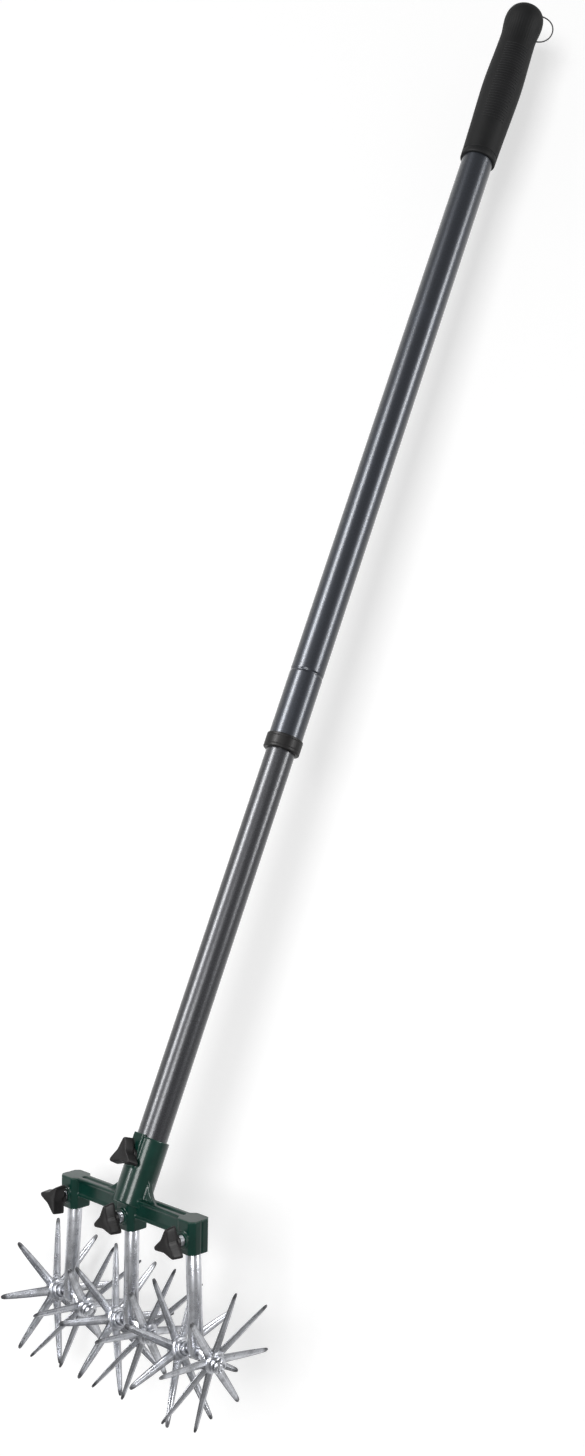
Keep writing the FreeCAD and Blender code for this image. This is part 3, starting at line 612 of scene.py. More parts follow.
def grown(piece, tree, values):
    """Run a geometry tree on a piece with named inputs, and bake it."""
    modifier = piece.modifiers.new(tree.name, "NODES")
    modifier.node_group = tree
    for item in tree.interface.items_tree:
        if item.item_type == "SOCKET" and item.in_out == "INPUT" and item.name in values:
            modifier[item.identifier] = values[item.name]
    return baked(piece)


def geometry_tree(name, inputs):
    """A geometry tree with named inputs; returns its graph and each input's value."""
    tree = bpy.data.node_groups.new(name, "GeometryNodeTree")
    graph = Graph(tree)
    tree.interface.new_socket("Geometry", in_out="INPUT", socket_type="NodeSocketGeometry")
    for label, kind in inputs:
        tree.interface.new_socket(label, in_out="INPUT", socket_type="NodeSocket" + kind)
    tree.interface.new_socket("Geometry", in_out="OUTPUT", socket_type="NodeSocketGeometry")
    source = graph.node("NodeGroupInput")
    return graph, {socket.name: Value(graph, socket) for socket in source.outputs if socket.name}


def end_tree(graph, geometry, material):
    """Close a geometry tree with Realize Instances and Set Material."""
    real = graph.out("GeometryNodeRealizeInstances", 0, {}, {"Geometry": geometry})
    done = graph.out("GeometryNodeSetMaterial", 0, {}, {"Geometry": real, "Material": material})
    graph.node("NodeGroupOutput", {}, {"Geometry": done})
    return graph.tree


def joined(graph, *parts):
    node = graph.node("GeometryNodeJoinGeometry")
    for part in reversed(parts):
        graph.tree.links.new(part.socket, node.inputs[0])
    return Value(graph, node.outputs[0])


def settle(piece, body, slot, *nodes):
    """Say what a piece moves with and which solids it stands for; its slot is not used."""
    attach(piece, body)
    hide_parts(*nodes)


# Operators

class CULTIVATOR_OT_cord(bpy.types.Operator):
    """Hang the cord loop on the grip's bulb"""
    bl_idname = "cultivator.cord"
    bl_label = "Hanging cord"

    ROUTE = ((12.0, 177.5), (17.8, 177.5), (25.0, 174.0), (29.3, 167.0), (29.3, 158.0),
             (25.0, 151.0), (18.5, 148.0), (14.8, 148.0))   # out from the axis, up from the grip's end

    def execute(self, context):
        grip = context.scene.cultivator_grip
        place = handle_place() @ Matrix.Translation((0, 0, grip.start))
        side = Matrix.Rotation(grip.cord_side, 3, "Z") @ Vector((1, 0, 0))
        points = [place @ (side * out * MM + Vector((0, 0, up * MM))) for out, up in self.ROUTE]
        curve = bpy.data.curves.new("cord_loop", "CURVE")
        curve.dimensions = "3D"
        curve.bevel_depth = grip.cord_thick / 2
        curve.bevel_resolution = 4
        curve.resolution_u = 24
        curve.use_fill_caps = True
        spline = curve.splines.new("NURBS")
        spline.points.add(len(points) - 1)
        for control, point in zip(spline.points, points):
            control.co = (*point, 1.0)
        spline.order_u = 3
        spline.use_endpoint_u = True
        loop = bpy.data.objects.new("cord_loop", curve)
        context.collection.objects.link(loop)
        curve.materials.append(finishes()["cord"])
        settle(loop, "upper_handle", "cord", "hanging_cord")
        return {"FINISHED"}


class CULTIVATOR_OT_tubes(bpy.types.Operator):
    """Turn both handle tubes and the guide collar"""
    bl_idname = "cultivator.tubes"
    bl_label = "Tubes and collar"

    def execute(self, context):
        handle = context.scene.cultivator_handle
        place = handle_place()
        looks = finishes()
        low, high = handle.lower_start, handle.lower_end
        wall = [(handle.lower_bore, low), (handle.lower_radius, low), (handle.lower_radius, high),
                (handle.lower_bore, high)]
        verts, faces = turned(softened(wall, 0.4 * MM, True))
        tube = add_mesh("lower_tube_drawn", verts, faces, place, looks["grey_coat_fine"])
        settle(tube, "lower_handle", "grey_coat_fine", "lower_tube")

        outer, inner = handle.upper_radius, handle.upper_bore
        low, high = handle.upper_start, handle.upper_end
        groove, dip, half = low + handle.crimp_up, handle.crimp_depth, 1.5 * MM
        wall = [(outer, low), (outer, groove - half), (outer - dip, groove), (outer, groove + half), (outer, high),
                (inner, high), (inner, groove + half), (inner - dip, groove), (inner, groove - half), (inner, low)]
        verts, faces = turned(softened(wall, 0.6 * MM, True))
        tube = add_mesh("upper_tube_drawn", verts, faces, place, looks["grey_coat"])
        settle(tube, "upper_handle", "grey_coat", "upper_tube")
        self.make_collar(handle, place, looks["black_plastic"])
        return {"FINISHED"}

    def make_collar(self, handle, place, material):
        """Collar with a rounded lip, two fine grooves and its guide bush inside the tube."""
        start = handle.upper_start - 2 * MM
        end = start + handle.collar_length
        head, tube, fit = handle.collar_radius, handle.upper_radius, handle.upper_bore
        bore = handle.lower_radius + 0.05 * MM
        groove, half = handle.upper_start + handle.crimp_up, 1.5 * MM
        top = groove + 12 * MM
        cut = 0.25 * MM
        rim = []
        for line in (start + 3.0 * MM, end - 2.6 * MM):
            rim += [(head, line - 0.4 * MM), (head - cut, line), (head, line + 0.4 * MM)]
        wall = [(bore, start), (head - 0.8 * MM, start), (head, start + 0.8 * MM)] + rim
        wall += [(head, end - 0.5 * MM), (head - 0.5 * MM, end), (tube, end), (tube, handle.upper_start),
                 (fit, handle.upper_start), (fit, groove - half), (fit - handle.crimp_depth, groove),
                 (fit, groove + half), (fit, top), (bore, top)]
        verts, faces = turned(softened(wall, 0.35 * MM, True))
        collar = add_mesh("collar_moulded", verts, faces, place, material)
        settle(collar, "upper_handle", "black_plastic", "guide_collar")


class CULTIVATOR_OT_grip(bpy.types.Operator):
    """Mould the rubber grip with its bulb, finger ribs and fine flutes"""
    bl_idname = "cultivator.grip"
    bl_label = "Grip"

    OUTLINE = ((16.8, 6.5), (17.6, 38.0), (18.7, 74.0), (18.8, 96.0), (17.5, 132.0), (17.3, 147.0),
               (18.4, 158.0), (18.7, 165.0), (17.6, 171.6), (14.5, 176.6), (8.3, 180.05), (3.5, 180.95))
    LIP = ((16.2, 0.0), (16.75, 0.5), (16.85, 1.4), (16.9, 5.9), (16.6, 6.2), (16.6, 6.8), (16.95, 7.1))
    FLUTES = 44

    def outline(self):
        return [(p.x, p.y) for p in flowing([(r * MM, h * MM) for r, h in self.OUTLINE], 7)]

    def girth(self, height):
        """Radius of the grip's side at a height."""
        points = self.outline()
        for low, high in zip(points, points[1:]):
            if low[1] <= height <= high[1]:
                return low[0] + (high[0] - low[0]) * (height - low[1]) / (high[1] - low[1])
        raise ValueError("height is off the grip")

    def execute(self, context):
        grip = context.scene.cultivator_grip
        handle = context.scene.cultivator_handle
        place = handle_place() @ Matrix.Translation((0, 0, grip.start))
        bore = handle.upper_radius
        seat = grip.reach - grip.end_wall
        lip = [(r * MM, grip.lip_up + up * MM) for r, up in self.LIP]
        side = [p for p in self.outline() if p[1] > lip[-1][1]]
        profile = [(0.0, seat), (bore, seat), (bore, grip.lip_up)] + lip + side
        profile.append((0.0, grip.reach - 0.3 * MM))
        verts, faces = turned(profile, 176)
        verts = [self.fluted(v) for v in verts]
        body = add_mesh("grip_rubber", verts, faces, place, finishes()["rubber_black"], 50.0)
        settle(body, "upper_handle", "rubber_black", "hand_grip")
        self.make_ribs(grip, place)
        return {"FINISHED"}

    def fluted(self, vertex):
        """Sink fine lengthwise flutes into the neck below the bulb."""
        x, y, z = vertex
        radius = math.hypot(x, y)
        start, end = 130 * MM, 163 * MM
        if radius < 16 * MM or not start < z < end:
            return vertex
        fade = min(1.0, (z - start) / (6 * MM), (end - z) / (6 * MM))
        depth = 0.22 * MM * fade * (0.5 - 0.5 * math.cos(self.FLUTES * math.atan2(y, x)))
        return (x * (1 - depth / radius), y * (1 - depth / radius), z)

    def make_ribs(self, grip, place):
        """Sweep one rounded rib at every pitch, as wide as the grip is there."""
        graph, given = geometry_tree("finger_ribs", (("Rib radius", "Float"), ("Start", "Float"),
                                                     ("Spread", "Float"), ("Finish", "Material")))
        girth = graph.out("GeometryNodeInputNamedAttribute", 0, {"data_type": "FLOAT"}, {"Name": "girth"})
        arc = graph.out("GeometryNodeCurveArc", 0, {"mode": "RADIUS"}, {
            "Resolution": 28, "Radius": 1.0, "Start Angle": given["Start"], "Sweep Angle": given["Spread"]})
        size = graph.out("ShaderNodeCombineXYZ", 0, {}, {0: girth, 1: girth, 2: 1.0})
        ribs = graph.out("GeometryNodeInstanceOnPoints", 0, {}, {
            "Points": given["Geometry"], "Instance": arc, "Scale": size})
        ribs = graph.out("GeometryNodeRealizeInstances", 0, {}, {"Geometry": ribs})
        along = graph.out("GeometryNodeSplineParameter", "Factor")
        near_end = graph.maths("MINIMUM", along, 1.0 - along)
        taper = graph.maths("MULTIPLY", near_end, 9.0, True) ** 0.5
        ribs = graph.out("GeometryNodeSetCurveRadius", 0, {}, {"Curve": ribs, "Radius": taper + 0.02})
        section = graph.out("GeometryNodeCurvePrimitiveCircle", 0, {"mode": "RADIUS"}, {
            "Resolution": 12, "Radius": given["Rib radius"]})
        swept = graph.out("GeometryNodeCurveToMesh", 0, {}, {
            "Curve": ribs, "Profile Curve": section, "Fill Caps": True})
        tree = end_tree(graph, swept, given["Finish"])

        heights = [grip.rib_first + i * grip.rib_pitch for i in range(grip.ribs)]
        mesh = bpy.data.meshes.new("grip_ribs")
        mesh.from_pydata([(0, 0, height) for height in heights], [], [])
        sunk = grip.rib_radius - grip.rib_proud
        values = mesh.attributes.new("girth", "FLOAT", "POINT")
        values.data.foreach_set("value", [self.girth(height) - sunk for height in heights])
        ribs = bpy.data.objects.new("grip_ribs", mesh)
        bpy.context.collection.objects.link(ribs)
        grown(ribs, tree, {"Rib radius": grip.rib_radius, "Start": grip.rib_facing - grip.rib_spread / 2,
                           "Spread": grip.rib_spread, "Finish": finishes()["rubber_black"]})
        ribs.data.transform(place)
        ribs.data.shade_smooth()
        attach(ribs, "upper_handle")


class CULTIVATOR_OT_head(bpy.types.Operator):
    """Round every edge of the cast head as casting and enamel do"""
    bl_idname = "cultivator.head"
    bl_label = "Cast head"

    def execute(self, context):
        head = context.scene.cultivator_head
        work = bmesh.new()
        work.from_mesh(frame["nodes"]["cast_head"].data)
        bmesh.ops.remove_doubles(work, verts=work.verts, dist=1e-6)
        mesh = bpy.data.meshes.new("head_casting")
        work.to_mesh(mesh)
        work.free()
        mesh.materials.clear()
        casting = bpy.data.objects.new("head_casting", mesh)
        context.collection.objects.link(casting)
        remesh = casting.modifiers.new("grain", "REMESH")
        remesh.mode = "VOXEL"
        remesh.voxel_size = head.voxel
        smooth = casting.modifiers.new("rounding", "SMOOTH")
        smooth.factor = 0.5
        smooth.iterations = head.rounding
        baked(casting)
        casting.data.materials.clear()
        casting.data.materials.append(finishes()["green_enamel"])
        casting.data.shade_smooth()
        settle(casting, "head", "green_enamel", "cast_head")
        return {"FINISHED"}


class CULTIVATOR_OT_knobs(bpy.types.Operator):
    """Mould the four star knobs round their threaded studs"""
    bl_idname = "cultivator.knobs"
    bl_label = "Knobs and studs"

    SHOWN = {"left": 3.0, "middle": 6.0, "right": 5.5, "handle": 0.2}
    CLOCKING = {"left": 54.0, "middle": 86.0, "right": 84.0, "handle": 98.0}
    FLANK = ((0.0, 1.0), (4.0, 0.998), (6.5, 0.96), (11.0, 0.84), (17.0, 0.72), (25.0, 0.61), (35.0, 0.525),
             (47.0, 0.465), (60.0, 0.445))
    LAYERS = ((0.0, 0.90), (0.02, 0.96), (0.06, 1.0), (0.3, 0.985), (0.6, 0.96), (0.9, 0.93), (0.96, 0.915),
              (0.99, 0.885), (1.0, 0.85), (1.0, 0.75), (0.985, 0.5), (0.97, 0.3), (0.965, 0.1))

    def star(self, degrees):
        """Share of the reach at an angle past an arm's middle."""
        folded = abs((degrees + 60.0) % 120.0 - 60.0)
        for low, high in zip(self.FLANK, self.FLANK[1:]):
            if folded <= high[0]:
                t = (folded - low[0]) / (high[0] - low[0])
                return low[1] + (high[1] - low[1]) * t
        return self.FLANK[-1][1]

    def rounded_star(self, degrees):
        return sum(self.star(degrees + shift) for shift in (-1.5, 0.0, 1.5)) / 3

    def knob_rings(self, head, name):
        rings = []
        for level, scale in self.LAYERS:
            ring = []
            for i in range(144):
                degrees = i * 2.5
                radius = head.knob_reach * scale * self.rounded_star(degrees)
                if scale < 0.7:
                    blend = scale / 0.7
                    radius = head.knob_reach * scale * (self.rounded_star(degrees) * blend + 0.62 * (1 - blend))
                turn = math.radians(degrees + self.CLOCKING[name])
                ring.append((radius * math.cos(turn), radius * math.sin(turn),
                             head.knob_neck + level * head.knob_thick))
            rings.append(ring)
        return rings

    def execute(self, context):
        head = context.scene.cultivator_head
        looks = finishes()
        graph, given = geometry_tree("stud_thread", (("Radius", "Float"), ("Pitch", "Float"), ("Turns", "Float"),
                                                     ("Start", "Vector"), ("Finish", "Material")))
        helix = graph.out("GeometryNodeCurveSpiral", 0, {}, {
            "Resolution": 36, "Rotations": given["Turns"], "Start Radius": given["Radius"],
            "End Radius": given["Radius"], "Height": given["Turns"] * given["Pitch"]})
        ridge = graph.out("GeometryNodeCurvePrimitiveCircle", 0, {"mode": "RADIUS"}, {
            "Resolution": 4, "Radius": given["Pitch"] * 0.5})
        swept = graph.out("GeometryNodeCurveToMesh", 0, {}, {
            "Curve": helix, "Profile Curve": ridge, "Fill Caps": True})
        placed = graph.out("GeometryNodeTransform", 0, {}, {"Geometry": swept, "Translation": given["Start"]})
        tree = end_tree(graph, joined(graph, given["Geometry"], placed), given["Finish"])
        for name, shown in self.SHOWN.items():
            place = knob_place(name)
            shown = shown * MM
            verts, faces = lofted(self.knob_rings(head, name))
            neck = [(0.0, 0.0), (6.6 * MM, 0.0), (7.0 * MM, 0.4 * MM), (6.9 * MM, head.knob_neck + 1 * MM),
                    (0.0, head.knob_neck + 1 * MM)]
            more, extra = turned(softened(neck, 0.3 * MM), 72)
            shift = len(verts)
            verts = verts + more
            faces = faces + [[i + shift for i in face] for face in extra]
            knob = add_mesh("knob_moulded_" + name, verts, faces, place @ Matrix.Translation((0, 0, shown)),
                            looks["black_plastic"], 48.0)
            settle(knob, "knob_" + name, "black_plastic", "knob_" + name)
            self.make_stud(head, name, shown, place, tree, looks["zinc"])
        return {"FINISHED"}

    def make_stud(self, head, name, shown, place, tree, material):
        reach = 5.5 * MM
        radius = head.stud_radius
        core = radius - 0.45 * head.stud_pitch
        profile = [(0.0, -reach), (2.6 * MM, -reach), (2.8 * MM, -reach + 0.2 * MM), (2.8 * MM, -reach + 2 * MM),
                   (core, -reach + 2.7 * MM), (core, shown + 4 * MM), (0.0, shown + 4 * MM)]
        verts, faces = turned(softened(profile, 0.2 * MM), 48)
        stud = add_mesh("stud_" + name, verts, faces, Matrix.Identity(4), material)
        turns = (reach - 3 * MM + shown + 3 * MM) / head.stud_pitch
        grown(stud, tree, {"Radius": core - 0.03 * MM, "Pitch": head.stud_pitch, "Turns": turns,
                           "Start": (0.0, 0.0, -reach + 3 * MM), "Finish": material})
        stud.data.transform(place)
        settle(stud, "knob_" + name, "zinc", "knob_stud_" + name)


class CULTIVATOR_OT_tines(bpy.types.Operator):
    """Form the tine shafts, bend their axles and turn the push-on caps"""
    bl_idname = "cultivator.tines"
    bl_label = "Tine units"

    def execute(self, context):
        tines = context.scene.cultivator_tines
        looks = finishes()
        for unit, (_, position) in enumerate(SIDES, 1):
            body = "tine_unit_%d" % unit
            place = unit_place(position)
            verts, faces = self.shaft(tines)
            shaft = add_mesh("shaft_pressed_%d" % unit, verts, faces, place, looks["zinc"], 60.0)
            settle(shaft, body, "zinc", "tine_shaft_%d" % unit)
            verts, faces = self.axle(tines)
            axle = add_mesh("axle_bent_%d" % unit, verts, faces, place, looks["zinc"])
            settle(axle, body, "zinc", "axle_%d" % unit)
            verts, faces = self.caps(tines)
            caps = add_mesh("caps_turned_%d" % unit, verts, faces, place, looks["zinc"])
            settle(caps, body, "zinc", "axle_caps_%d" % unit)
        return {"FINISHED"}

    def axle_z(self, tines):
        return head_z() - tines.drop

    def ring(self, thick, width, height, crease=0.0):
        """Section of the shaft, round or with two flats, creased down the middle of each flat."""
        points = []
        for i in range(72):
            turn = 2 * math.pi * (i + 0.5) / 72
            y = width / 2 * math.sin(turn)
            past = max(0.0, abs(y) - max(0.0, width - thick) / 2)
            x = math.copysign(math.sqrt(max(0.0, thick ** 2 / 4 - past ** 2)), math.cos(turn))
            x -= math.copysign(min(abs(x), crease * math.exp(-(y / (1.5 * MM)) ** 2)), x)
            points.append((x, y, height))
        return points

    def shaft(self, tines):
        axle = self.axle_z(tines)
        half = tines.foot_width / 2
        thick = tines.foot_thick
        rings = []
        for i in range(13):
            turn = math.radians(87 - 87 * i / 12)
            edge = 1 - 0.35 * max(0.0, 1 - i / 3.0)
            rings.append(self.ring(thick * edge, 2 * half * math.cos(turn), axle - half * math.sin(turn)))
        rings.append(self.ring(thick, 2 * half, axle + 0.4 * tines.foot_rise, 0.3 * MM))
        rings.append(self.ring(thick, 2 * half, axle + tines.foot_rise, 0.75 * MM))
        tube = 2 * tines.shaft_radius
        for i in range(1, 13):
            t = i / 12
            ease = t * t * (3 - 2 * t)
            height = axle + tines.foot_rise + tines.foot_taper * t
            rings.append(self.ring(thick + (tube - thick) * ease, 2 * half + (tube - 2 * half) * ease, height,
                                   0.75 * MM * (1 - ease)))
        rings.append(self.ring(tube, tube, head_z() - 4.2 * MM))
        rings.append(self.ring(tube - 0.8 * MM, tube - 0.8 * MM, head_z() - 3.8 * MM))
        return lofted(rings)

    def on_axle(self, tines, side):
        """Frame at the left or right kink, X out along the bent end."""
        shift = Matrix.Translation((side * tines.kink, 0, self.axle_z(tines)))
        turn = Matrix.Rotation(math.pi, 4, "Z") if side < 0 else Matrix.Identity(4)
        return shift @ Matrix.Rotation(side * tines.droop, 4, "Y") @ turn

    def axle(self, tines):
        """Rings along the rod: collar, bend, straight middle, bend, collar."""
        rod = tines.axle_radius
        stations = ((22.2, rod - 0.4 * MM), (21.8, rod), (6.3, rod), (6.2, 4.6 * MM), (5.9, 4.95 * MM),
                    (5.5, 5.0 * MM), (2.7, 5.0 * MM), (2.5, 4.8 * MM), (2.4, 4.2 * MM), (2.3, rod), (1.9, rod))
        rings = [(-1, along * MM, 1.0, radius) for along, radius in stations]
        bend = [(-1, 1.2 * MM, 0.8, rod), (-1, 0.0, 0.5, rod), (-1, -1.2 * MM, 0.2, rod), (-1, -2.0 * MM, 0.0, rod)]
        rings += bend
        mirrored = [(1, along, turn, radius) for _, along, turn, radius in reversed(rings)]
        points = []
        for side, along, turn, radius in rings + mirrored:
            slope = tines.droop * turn
            droop = tines.droop if along > 0 else 0.0
            x = tines.kink + along * math.cos(droop)
            z = self.axle_z(tines) - along * math.sin(droop)
            if along == 0.0:
                z -= 0.1 * MM
            ring = []
            for i in range(40):
                a = 2 * math.pi * i / 40
                up = radius * math.sin(a)
                ring.append((side * (x + up * math.sin(slope)), radius * math.cos(a), z + up * math.cos(slope)))
            points.append(ring)
        return lofted(points)

    def caps(self, tines):
        """Both push-on caps: a domed washer with a rolled rim and the rod's end in its middle."""
        start, end = 19.85 * MM, 19.8 * MM + tines.cap_length
        outer = tines.cap_radius
        profile = [(0.0, start), (outer - 0.5 * MM, start), (outer, start + 0.5 * MM), (outer, end - 1.1 * MM),
                   (outer - 0.5 * MM, end - 0.4 * MM), (outer - 1.4 * MM, end), (3.6 * MM, end - 0.1 * MM),
                   (3.3 * MM, end - 1.0 * MM), (2.7 * MM, end - 1.0 * MM), (2.4 * MM, end - 0.5 * MM),
                   (0.0, end - 0.4 * MM)]
        verts, faces = [], []
        for side in (-1, 1):
            place = self.on_axle(tines, side) @ Matrix.Rotation(math.radians(90), 4, "Y")
            more, extra = turned(softened(profile, 0.2 * MM), 56)
            faces += [[i + len(verts) for i in face] for face in extra]
            verts += [tuple(place @ Vector(v)) for v in more]
        return verts, faces


class CULTIVATOR_OT_wheels(bpy.types.Operator):
    """Cast the six star wheels from one spike and one hub"""
    bl_idname = "cultivator.wheels"
    bl_label = "Star wheels"

    CLOCKING = (36.0, 34.0, 34.0, 33.0, 13.0, 38.0)
    WIDTHS = ((0.0, 8.8, 5.6), (0.035, 8.3, 5.4), (0.08, 7.5, 5.0), (0.14, 7.1, 4.6), (0.3, 6.8, 3.9),
              (0.5, 6.3, 3.3), (0.7, 5.5, 2.8), (0.86, 4.6, 2.4), (0.94, 3.9, 2.1), (0.98, 3.1, 1.8),
              (1.0, 1.8, 1.2))   # share of the reach, width, thickness

    def spike(self, wheels):
        """Flat blade with a rounded ridge down each face, pointing along +Z."""
        section = ((0.0, 1.0), (0.16, 0.86), (0.42, 0.52), (0.74, 0.38), (0.93, 0.3), (1.0, 0.12))
        rings = []
        for level, width, thick in self.WIDTHS:
            z = wheels.root + level * (wheels.reach - wheels.root)
            lean = (z - wheels.root) * math.tan(wheels.cone)
            quarter = [(across * width / 2 * MM, deep * thick / 2 * MM) for across, deep in section]
            ring = [(lean - deep, across, z) for across, deep in quarter]
            ring += [(lean + deep, across, z) for across, deep in reversed(quarter)]
            ring += [(lean + deep, -across, z) for across, deep in quarter[1:]]
            ring += [(lean - deep, -across, z) for across, deep in reversed(quarter[1:])]
            rings.append(ring)
        return lofted(rings)

    def mark_blade(self, mesh, wheels):
        """Store on a spike's points how near its rim and its tip they are."""
        rim = mesh.attributes.new("rim", "FLOAT", "POINT")
        tip = mesh.attributes.new("tip", "FLOAT", "POINT")
        for point in mesh.vertices:
            level = (point.co.z - wheels.root) / (wheels.reach - wheels.root)
            for low, high in zip(self.WIDTHS, self.WIDTHS[1:]):
                if low[0] - 1e-4 <= level <= high[0] + 1e-4:
                    t = (level - low[0]) / (high[0] - low[0])
                    half = (low[1] + (high[1] - low[1]) * t) / 2 * MM
            rim.data[point.index].value = abs(point.co.y) / half
            tip.data[point.index].value = level

    def hub(self, wheels):
        """Turned hub with concentric steps, its bore open."""
        end, rim = wheels.hub_length / 2, 3.8 * MM
        bead, ring, nose, bore = wheels.hub_bead, wheels.hub_ring, wheels.hub_nose, wheels.hub_bore
        profile = [(bore, -end), (bead - 2.2 * MM, -end), (bead - 1.9 * MM, -end + 0.5 * MM),
                   (bead - 1.2 * MM, -end + 0.5 * MM), (bead - 0.9 * MM, -end), (bead, -end + 0.7 * MM),
                   (bead, -rim - 0.4 * MM), (bead - 0.5 * MM, -rim - 0.1 * MM), (ring - 0.9 * MM, -rim),
                   (ring, -rim + 1.4 * MM), (ring, rim - 1.4 * MM), (ring - 0.9 * MM, rim),
                   (nose, rim + 0.1 * MM), (nose, end - 0.6 * MM), (nose - 0.6 * MM, end),
                   (nose - 1.3 * MM, end), (nose - 1.6 * MM, end - 0.5 * MM), (nose - 2.2 * MM, end - 0.5 * MM),
                   (nose - 2.5 * MM, end), (bore, end)]
        return turned(softened(profile, 0.3 * MM, True), 72)

    def execute(self, context):
        wheels = context.scene.cultivator_wheels
        material = finishes()["zinc_cast"]
        across = Matrix.Rotation(math.radians(90), 4, "Y")
        verts, faces = self.hub(wheels)
        hub = add_mesh("hub_pattern", verts, faces, across, material)
        graph, given = geometry_tree("star_wheel", (("Hub", "Object"), ("Spikes", "Int"), ("First", "Float"),
                                                    ("Finish", "Material")))
        points = graph.out("GeometryNodeMeshLine", 0, {}, {
            "Count": given["Spikes"], "Offset": (0.0, 0.0, 0.0)})
        index = graph.out("GeometryNodeInputIndex", 0)
        step = graph.maths("DIVIDE", 2 * math.pi, given["Spikes"])
        turn = graph.out("ShaderNodeCombineXYZ", 0, {}, {0: given["First"] + index * step})
        star = graph.out("GeometryNodeInstanceOnPoints", 0, {}, {
            "Points": points, "Instance": given["Geometry"], "Rotation": turn})
        middle = graph.out("GeometryNodeObjectInfo", "Geometry", {}, {"Object": given["Hub"]})
        tree = end_tree(graph, joined(graph, star, middle), given["Finish"])
        for number, clocking in enumerate(self.CLOCKING, 1):
            verts, faces = self.spike(wheels)
            wheel = add_mesh("wheel_cast_%d" % number, verts, faces, Matrix.Identity(4), material, 50.0)
            self.mark_blade(wheel.data, wheels)
            grown(wheel, tree, {"Hub": hub, "Spikes": wheels.spikes, "First": math.radians(clocking),
                                "Finish": material})
            wheel.data.transform(wheel_place(number))
            settle(wheel, "wheel_%d" % number, "zinc_cast", "star_wheel_%d" % number)
        bpy.data.objects.remove(hub)
        return {"FINISHED"}


class CULTIVATOR_OT_lock(bpy.types.Operator):
    """Give the twist lock inside the handle its plastic finish"""
    bl_idname = "cultivator.lock"
    bl_label = "Twist lock"

    def execute(self, context):
        for name in ("lock_plug", "lock_cam", "lock_cap"):
            for holder in frame["nodes"][name].material_slots:
                holder.link = "OBJECT"
                holder.material = finishes()["white_plastic"]
        return {"FINISHED"}


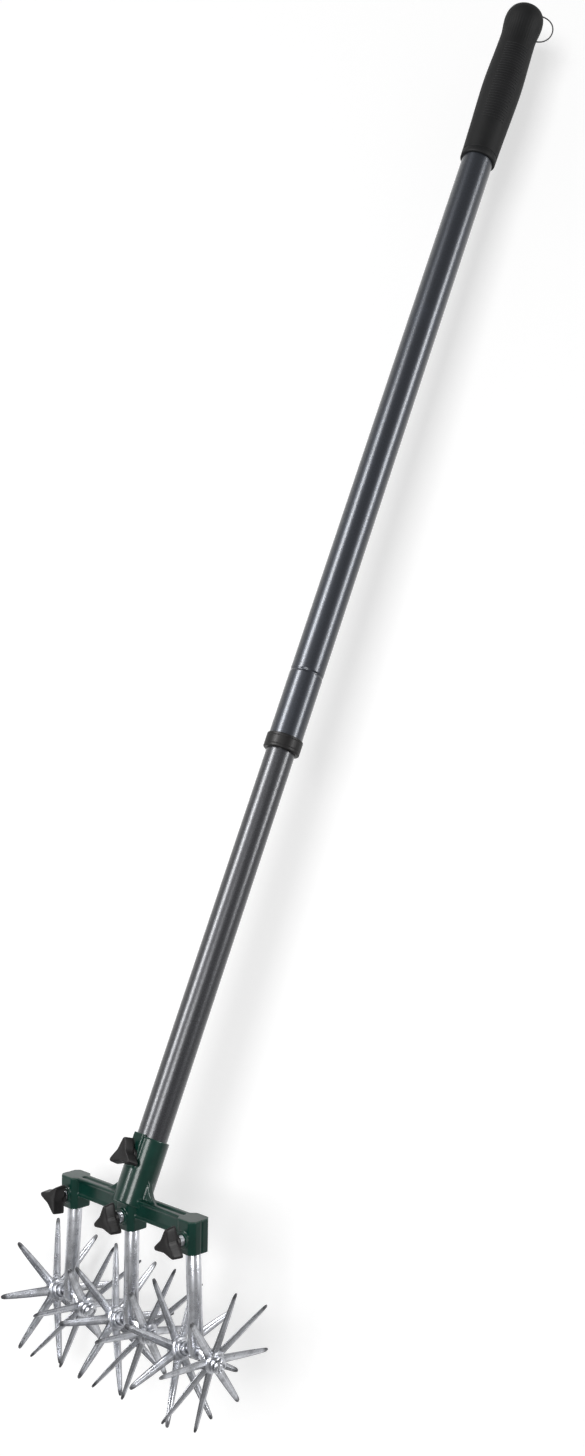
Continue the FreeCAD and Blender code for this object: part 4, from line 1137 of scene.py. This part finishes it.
class CULTIVATOR_OT_stage(bpy.types.Operator):
    """Set the camera, the pale backdrop and the soft studio light"""
    bl_idname = "cultivator.stage"
    bl_label = "Stage"

    CAMERA = (0.9800, -0.8360, 0.5915)
    WALL_BEHIND = 0.145        # from the head's middle to the backdrop, away from the camera
    WALL_LEAN = 12.5           # degrees, a little less than the handle leans away
    GLOW = 0.53                # of the backdrop, seen by the eye, so that it comes out just white
    STRIPS = (("left_strip", (-2.15, 0.45, 1.05), (-1.10, 2.05, 1.00), 1.0),
              ("right_strip", (2.08, -0.15, 1.10), (2.25, 1.30, 0.60), 0.6))

    def execute(self, context):
        scene = context.scene
        scene.view_settings.view_transform = "Standard"
        stage = scene.cultivator_stage
        view = self.camera_axes(stage)
        camera = bpy.data.cameras.new("camera")
        camera.lens = stage.lens
        camera.sensor_width = 36.0
        camera.clip_start = 0.01
        holder = bpy.data.objects.new("camera", camera)
        holder.matrix_world = Matrix.Translation(self.CAMERA) @ view.to_4x4()
        context.collection.objects.link(holder)
        scene.camera = holder

        back = view @ Vector((0, 0, 1))
        lean = Matrix.Rotation(-math.radians(self.WALL_LEAN), 3, "X")
        foot = Vector((0, 0, head_z())) - self.WALL_BEHIND * back
        wall = self.sheet("backdrop", Matrix.Translation(foot) @ (view @ lean).to_4x4(), 30.0)
        wall.data.materials.append(self.paper())
        self.world(scene)
        self.lamp("key_light", view @ Vector((-0.75, 0.45, 2.85)), Vector((0, 0, 1)), (0.9, 0.9), stage.key)
        for name, low, high, part in self.STRIPS:
            low, high = view @ Vector(low), view @ Vector(high)
            size = (stage.strip_width, (high - low).length)
            strip = self.lamp(name, (low + high) / 2, high - low, size, part * stage.side)
            strip.visible_diffuse = False
        return {"FINISHED"}

    def camera_axes(self, stage):
        """Columns right, up and back of the camera."""
        a, e, r = stage.azimuth, stage.elevation, stage.roll
        back = Vector((math.sin(a) * math.cos(e), -math.cos(a) * math.cos(e), math.sin(e)))
        right = Vector((math.cos(a), math.sin(a), 0))
        up = back.cross(right)
        axes = (math.cos(r) * right + math.sin(r) * up, math.cos(r) * up - math.sin(r) * right, back)
        return Matrix(axes).transposed()

    def sheet(self, name, place, size):
        mesh = bpy.data.meshes.new(name)
        corners = [(-size, -size, 0), (size, -size, 0), (size, size, 0), (-size, size, 0)]
        mesh.from_pydata([place @ Vector(c) for c in corners], [], [(0, 1, 2, 3)])
        thing = bpy.data.objects.new(name, mesh)
        bpy.context.collection.objects.link(thing)
        return thing

    def paper(self):
        """White paper that keeps shadows; seen by the eye and in metal it is lifted to white."""
        material = bpy.data.materials.new("paper")
        material.use_nodes = True
        graph = Graph(material.node_tree)
        path = graph.node("ShaderNodeLightPath")
        seen = graph.maths("MAXIMUM", Value(graph, path.outputs["Is Camera Ray"]),
                           Value(graph, path.outputs["Is Glossy Ray"]))
        seen = graph.maths("MAXIMUM", seen, Value(graph, path.outputs["Is Transmission Ray"]))
        surface = graph.out("ShaderNodeBsdfPrincipled", 0, {}, {
            "Base Color": (0.60, 0.60, 0.60, 1.0), "Roughness": 1.0, "Specular IOR Level": 0.0,
            "Emission Color": (1.0, 1.0, 1.0, 1.0), "Emission Strength": seen * self.GLOW})
        clear = graph.out("ShaderNodeBsdfTransparent", 0)
        behind = graph.out("ShaderNodeNewGeometry", "Backfacing")
        mixed = graph.out("ShaderNodeMixShader", 0, {}, {0: behind, 1: surface, 2: clear})
        graph.node("ShaderNodeOutputMaterial", {}, {"Surface": mixed})
        return material

    def world(self, scene):
        world = bpy.data.worlds.new("studio")
        scene.world = world
        world.use_nodes = True
        graph = Graph(world.node_tree)
        path = graph.node("ShaderNodeLightPath")
        seen = graph.maths("MAXIMUM", Value(graph, path.outputs["Is Camera Ray"]),
                           Value(graph, path.outputs["Is Transmission Ray"]))
        light = graph.out("ShaderNodeBackground", 0, {}, {
            "Color": (1.0, 1.0, 1.0, 1.0), "Strength": 0.35 + 0.65 * seen})
        graph.node("ShaderNodeOutputWorld", {}, {"Surface": light})

    def lamp(self, name, offset, upright, size, power):
        """Rectangular lamp that faces the tool's middle, its height along the upright."""
        light = bpy.data.lights.new(name, "AREA")
        light.energy = power
        light.shape = "RECTANGLE"
        light.size, light.size_y = size
        holder = bpy.data.objects.new(name, light)
        place = Vector((0, 0.2, 0.55)) + offset
        facing = offset.normalized()
        across = upright.cross(facing).normalized()
        turn = Matrix((across, facing.cross(across), facing)).transposed().to_4x4()
        holder.matrix_world = Matrix.Translation(place) @ turn
        bpy.context.collection.objects.link(holder)
        return holder


class CULTIVATOR_PT_panel(bpy.types.Panel):
    bl_label = "Rotary hand cultivator"
    bl_idname = "CULTIVATOR_PT_panel"
    bl_space_type = "VIEW_3D"
    bl_region_type = "UI"
    bl_category = "Cultivator"

    def draw(self, context):
        for operator in OPERATORS:
            self.layout.operator(operator.bl_idname)
        for name, group in GROUPS.items():
            box = self.layout.box()
            for prop in group.__annotations__:
                box.prop(getattr(context.scene, name), prop)


OPERATORS = (CULTIVATOR_OT_stage, CULTIVATOR_OT_cord, CULTIVATOR_OT_tubes, CULTIVATOR_OT_grip,
             CULTIVATOR_OT_head, CULTIVATOR_OT_knobs, CULTIVATOR_OT_tines, CULTIVATOR_OT_wheels,
             CULTIVATOR_OT_lock)


def register():
    for group in GROUPS.values():
        bpy.utils.register_class(group)
    for operator in OPERATORS:
        bpy.utils.register_class(operator)
    bpy.utils.register_class(CULTIVATOR_PT_panel)
    for name, group in GROUPS.items():
        setattr(bpy.types.Scene, name, bpy.props.PointerProperty(type=group))


def unregister():
    for name in GROUPS:
        delattr(bpy.types.Scene, name)
    bpy.utils.unregister_class(CULTIVATOR_PT_panel)
    for thing in reversed(OPERATORS + tuple(GROUPS.values())):
        bpy.utils.unregister_class(thing)


def main():
    register()
    bpy.ops.cultivator.stage()
    bpy.ops.cultivator.cord()
    bpy.ops.cultivator.tubes()
    bpy.ops.cultivator.grip()
    bpy.ops.cultivator.head()
    bpy.ops.cultivator.knobs()
    bpy.ops.cultivator.tines()
    bpy.ops.cultivator.wheels()
    bpy.ops.cultivator.lock()


if __name__ == "__main__":
    main()
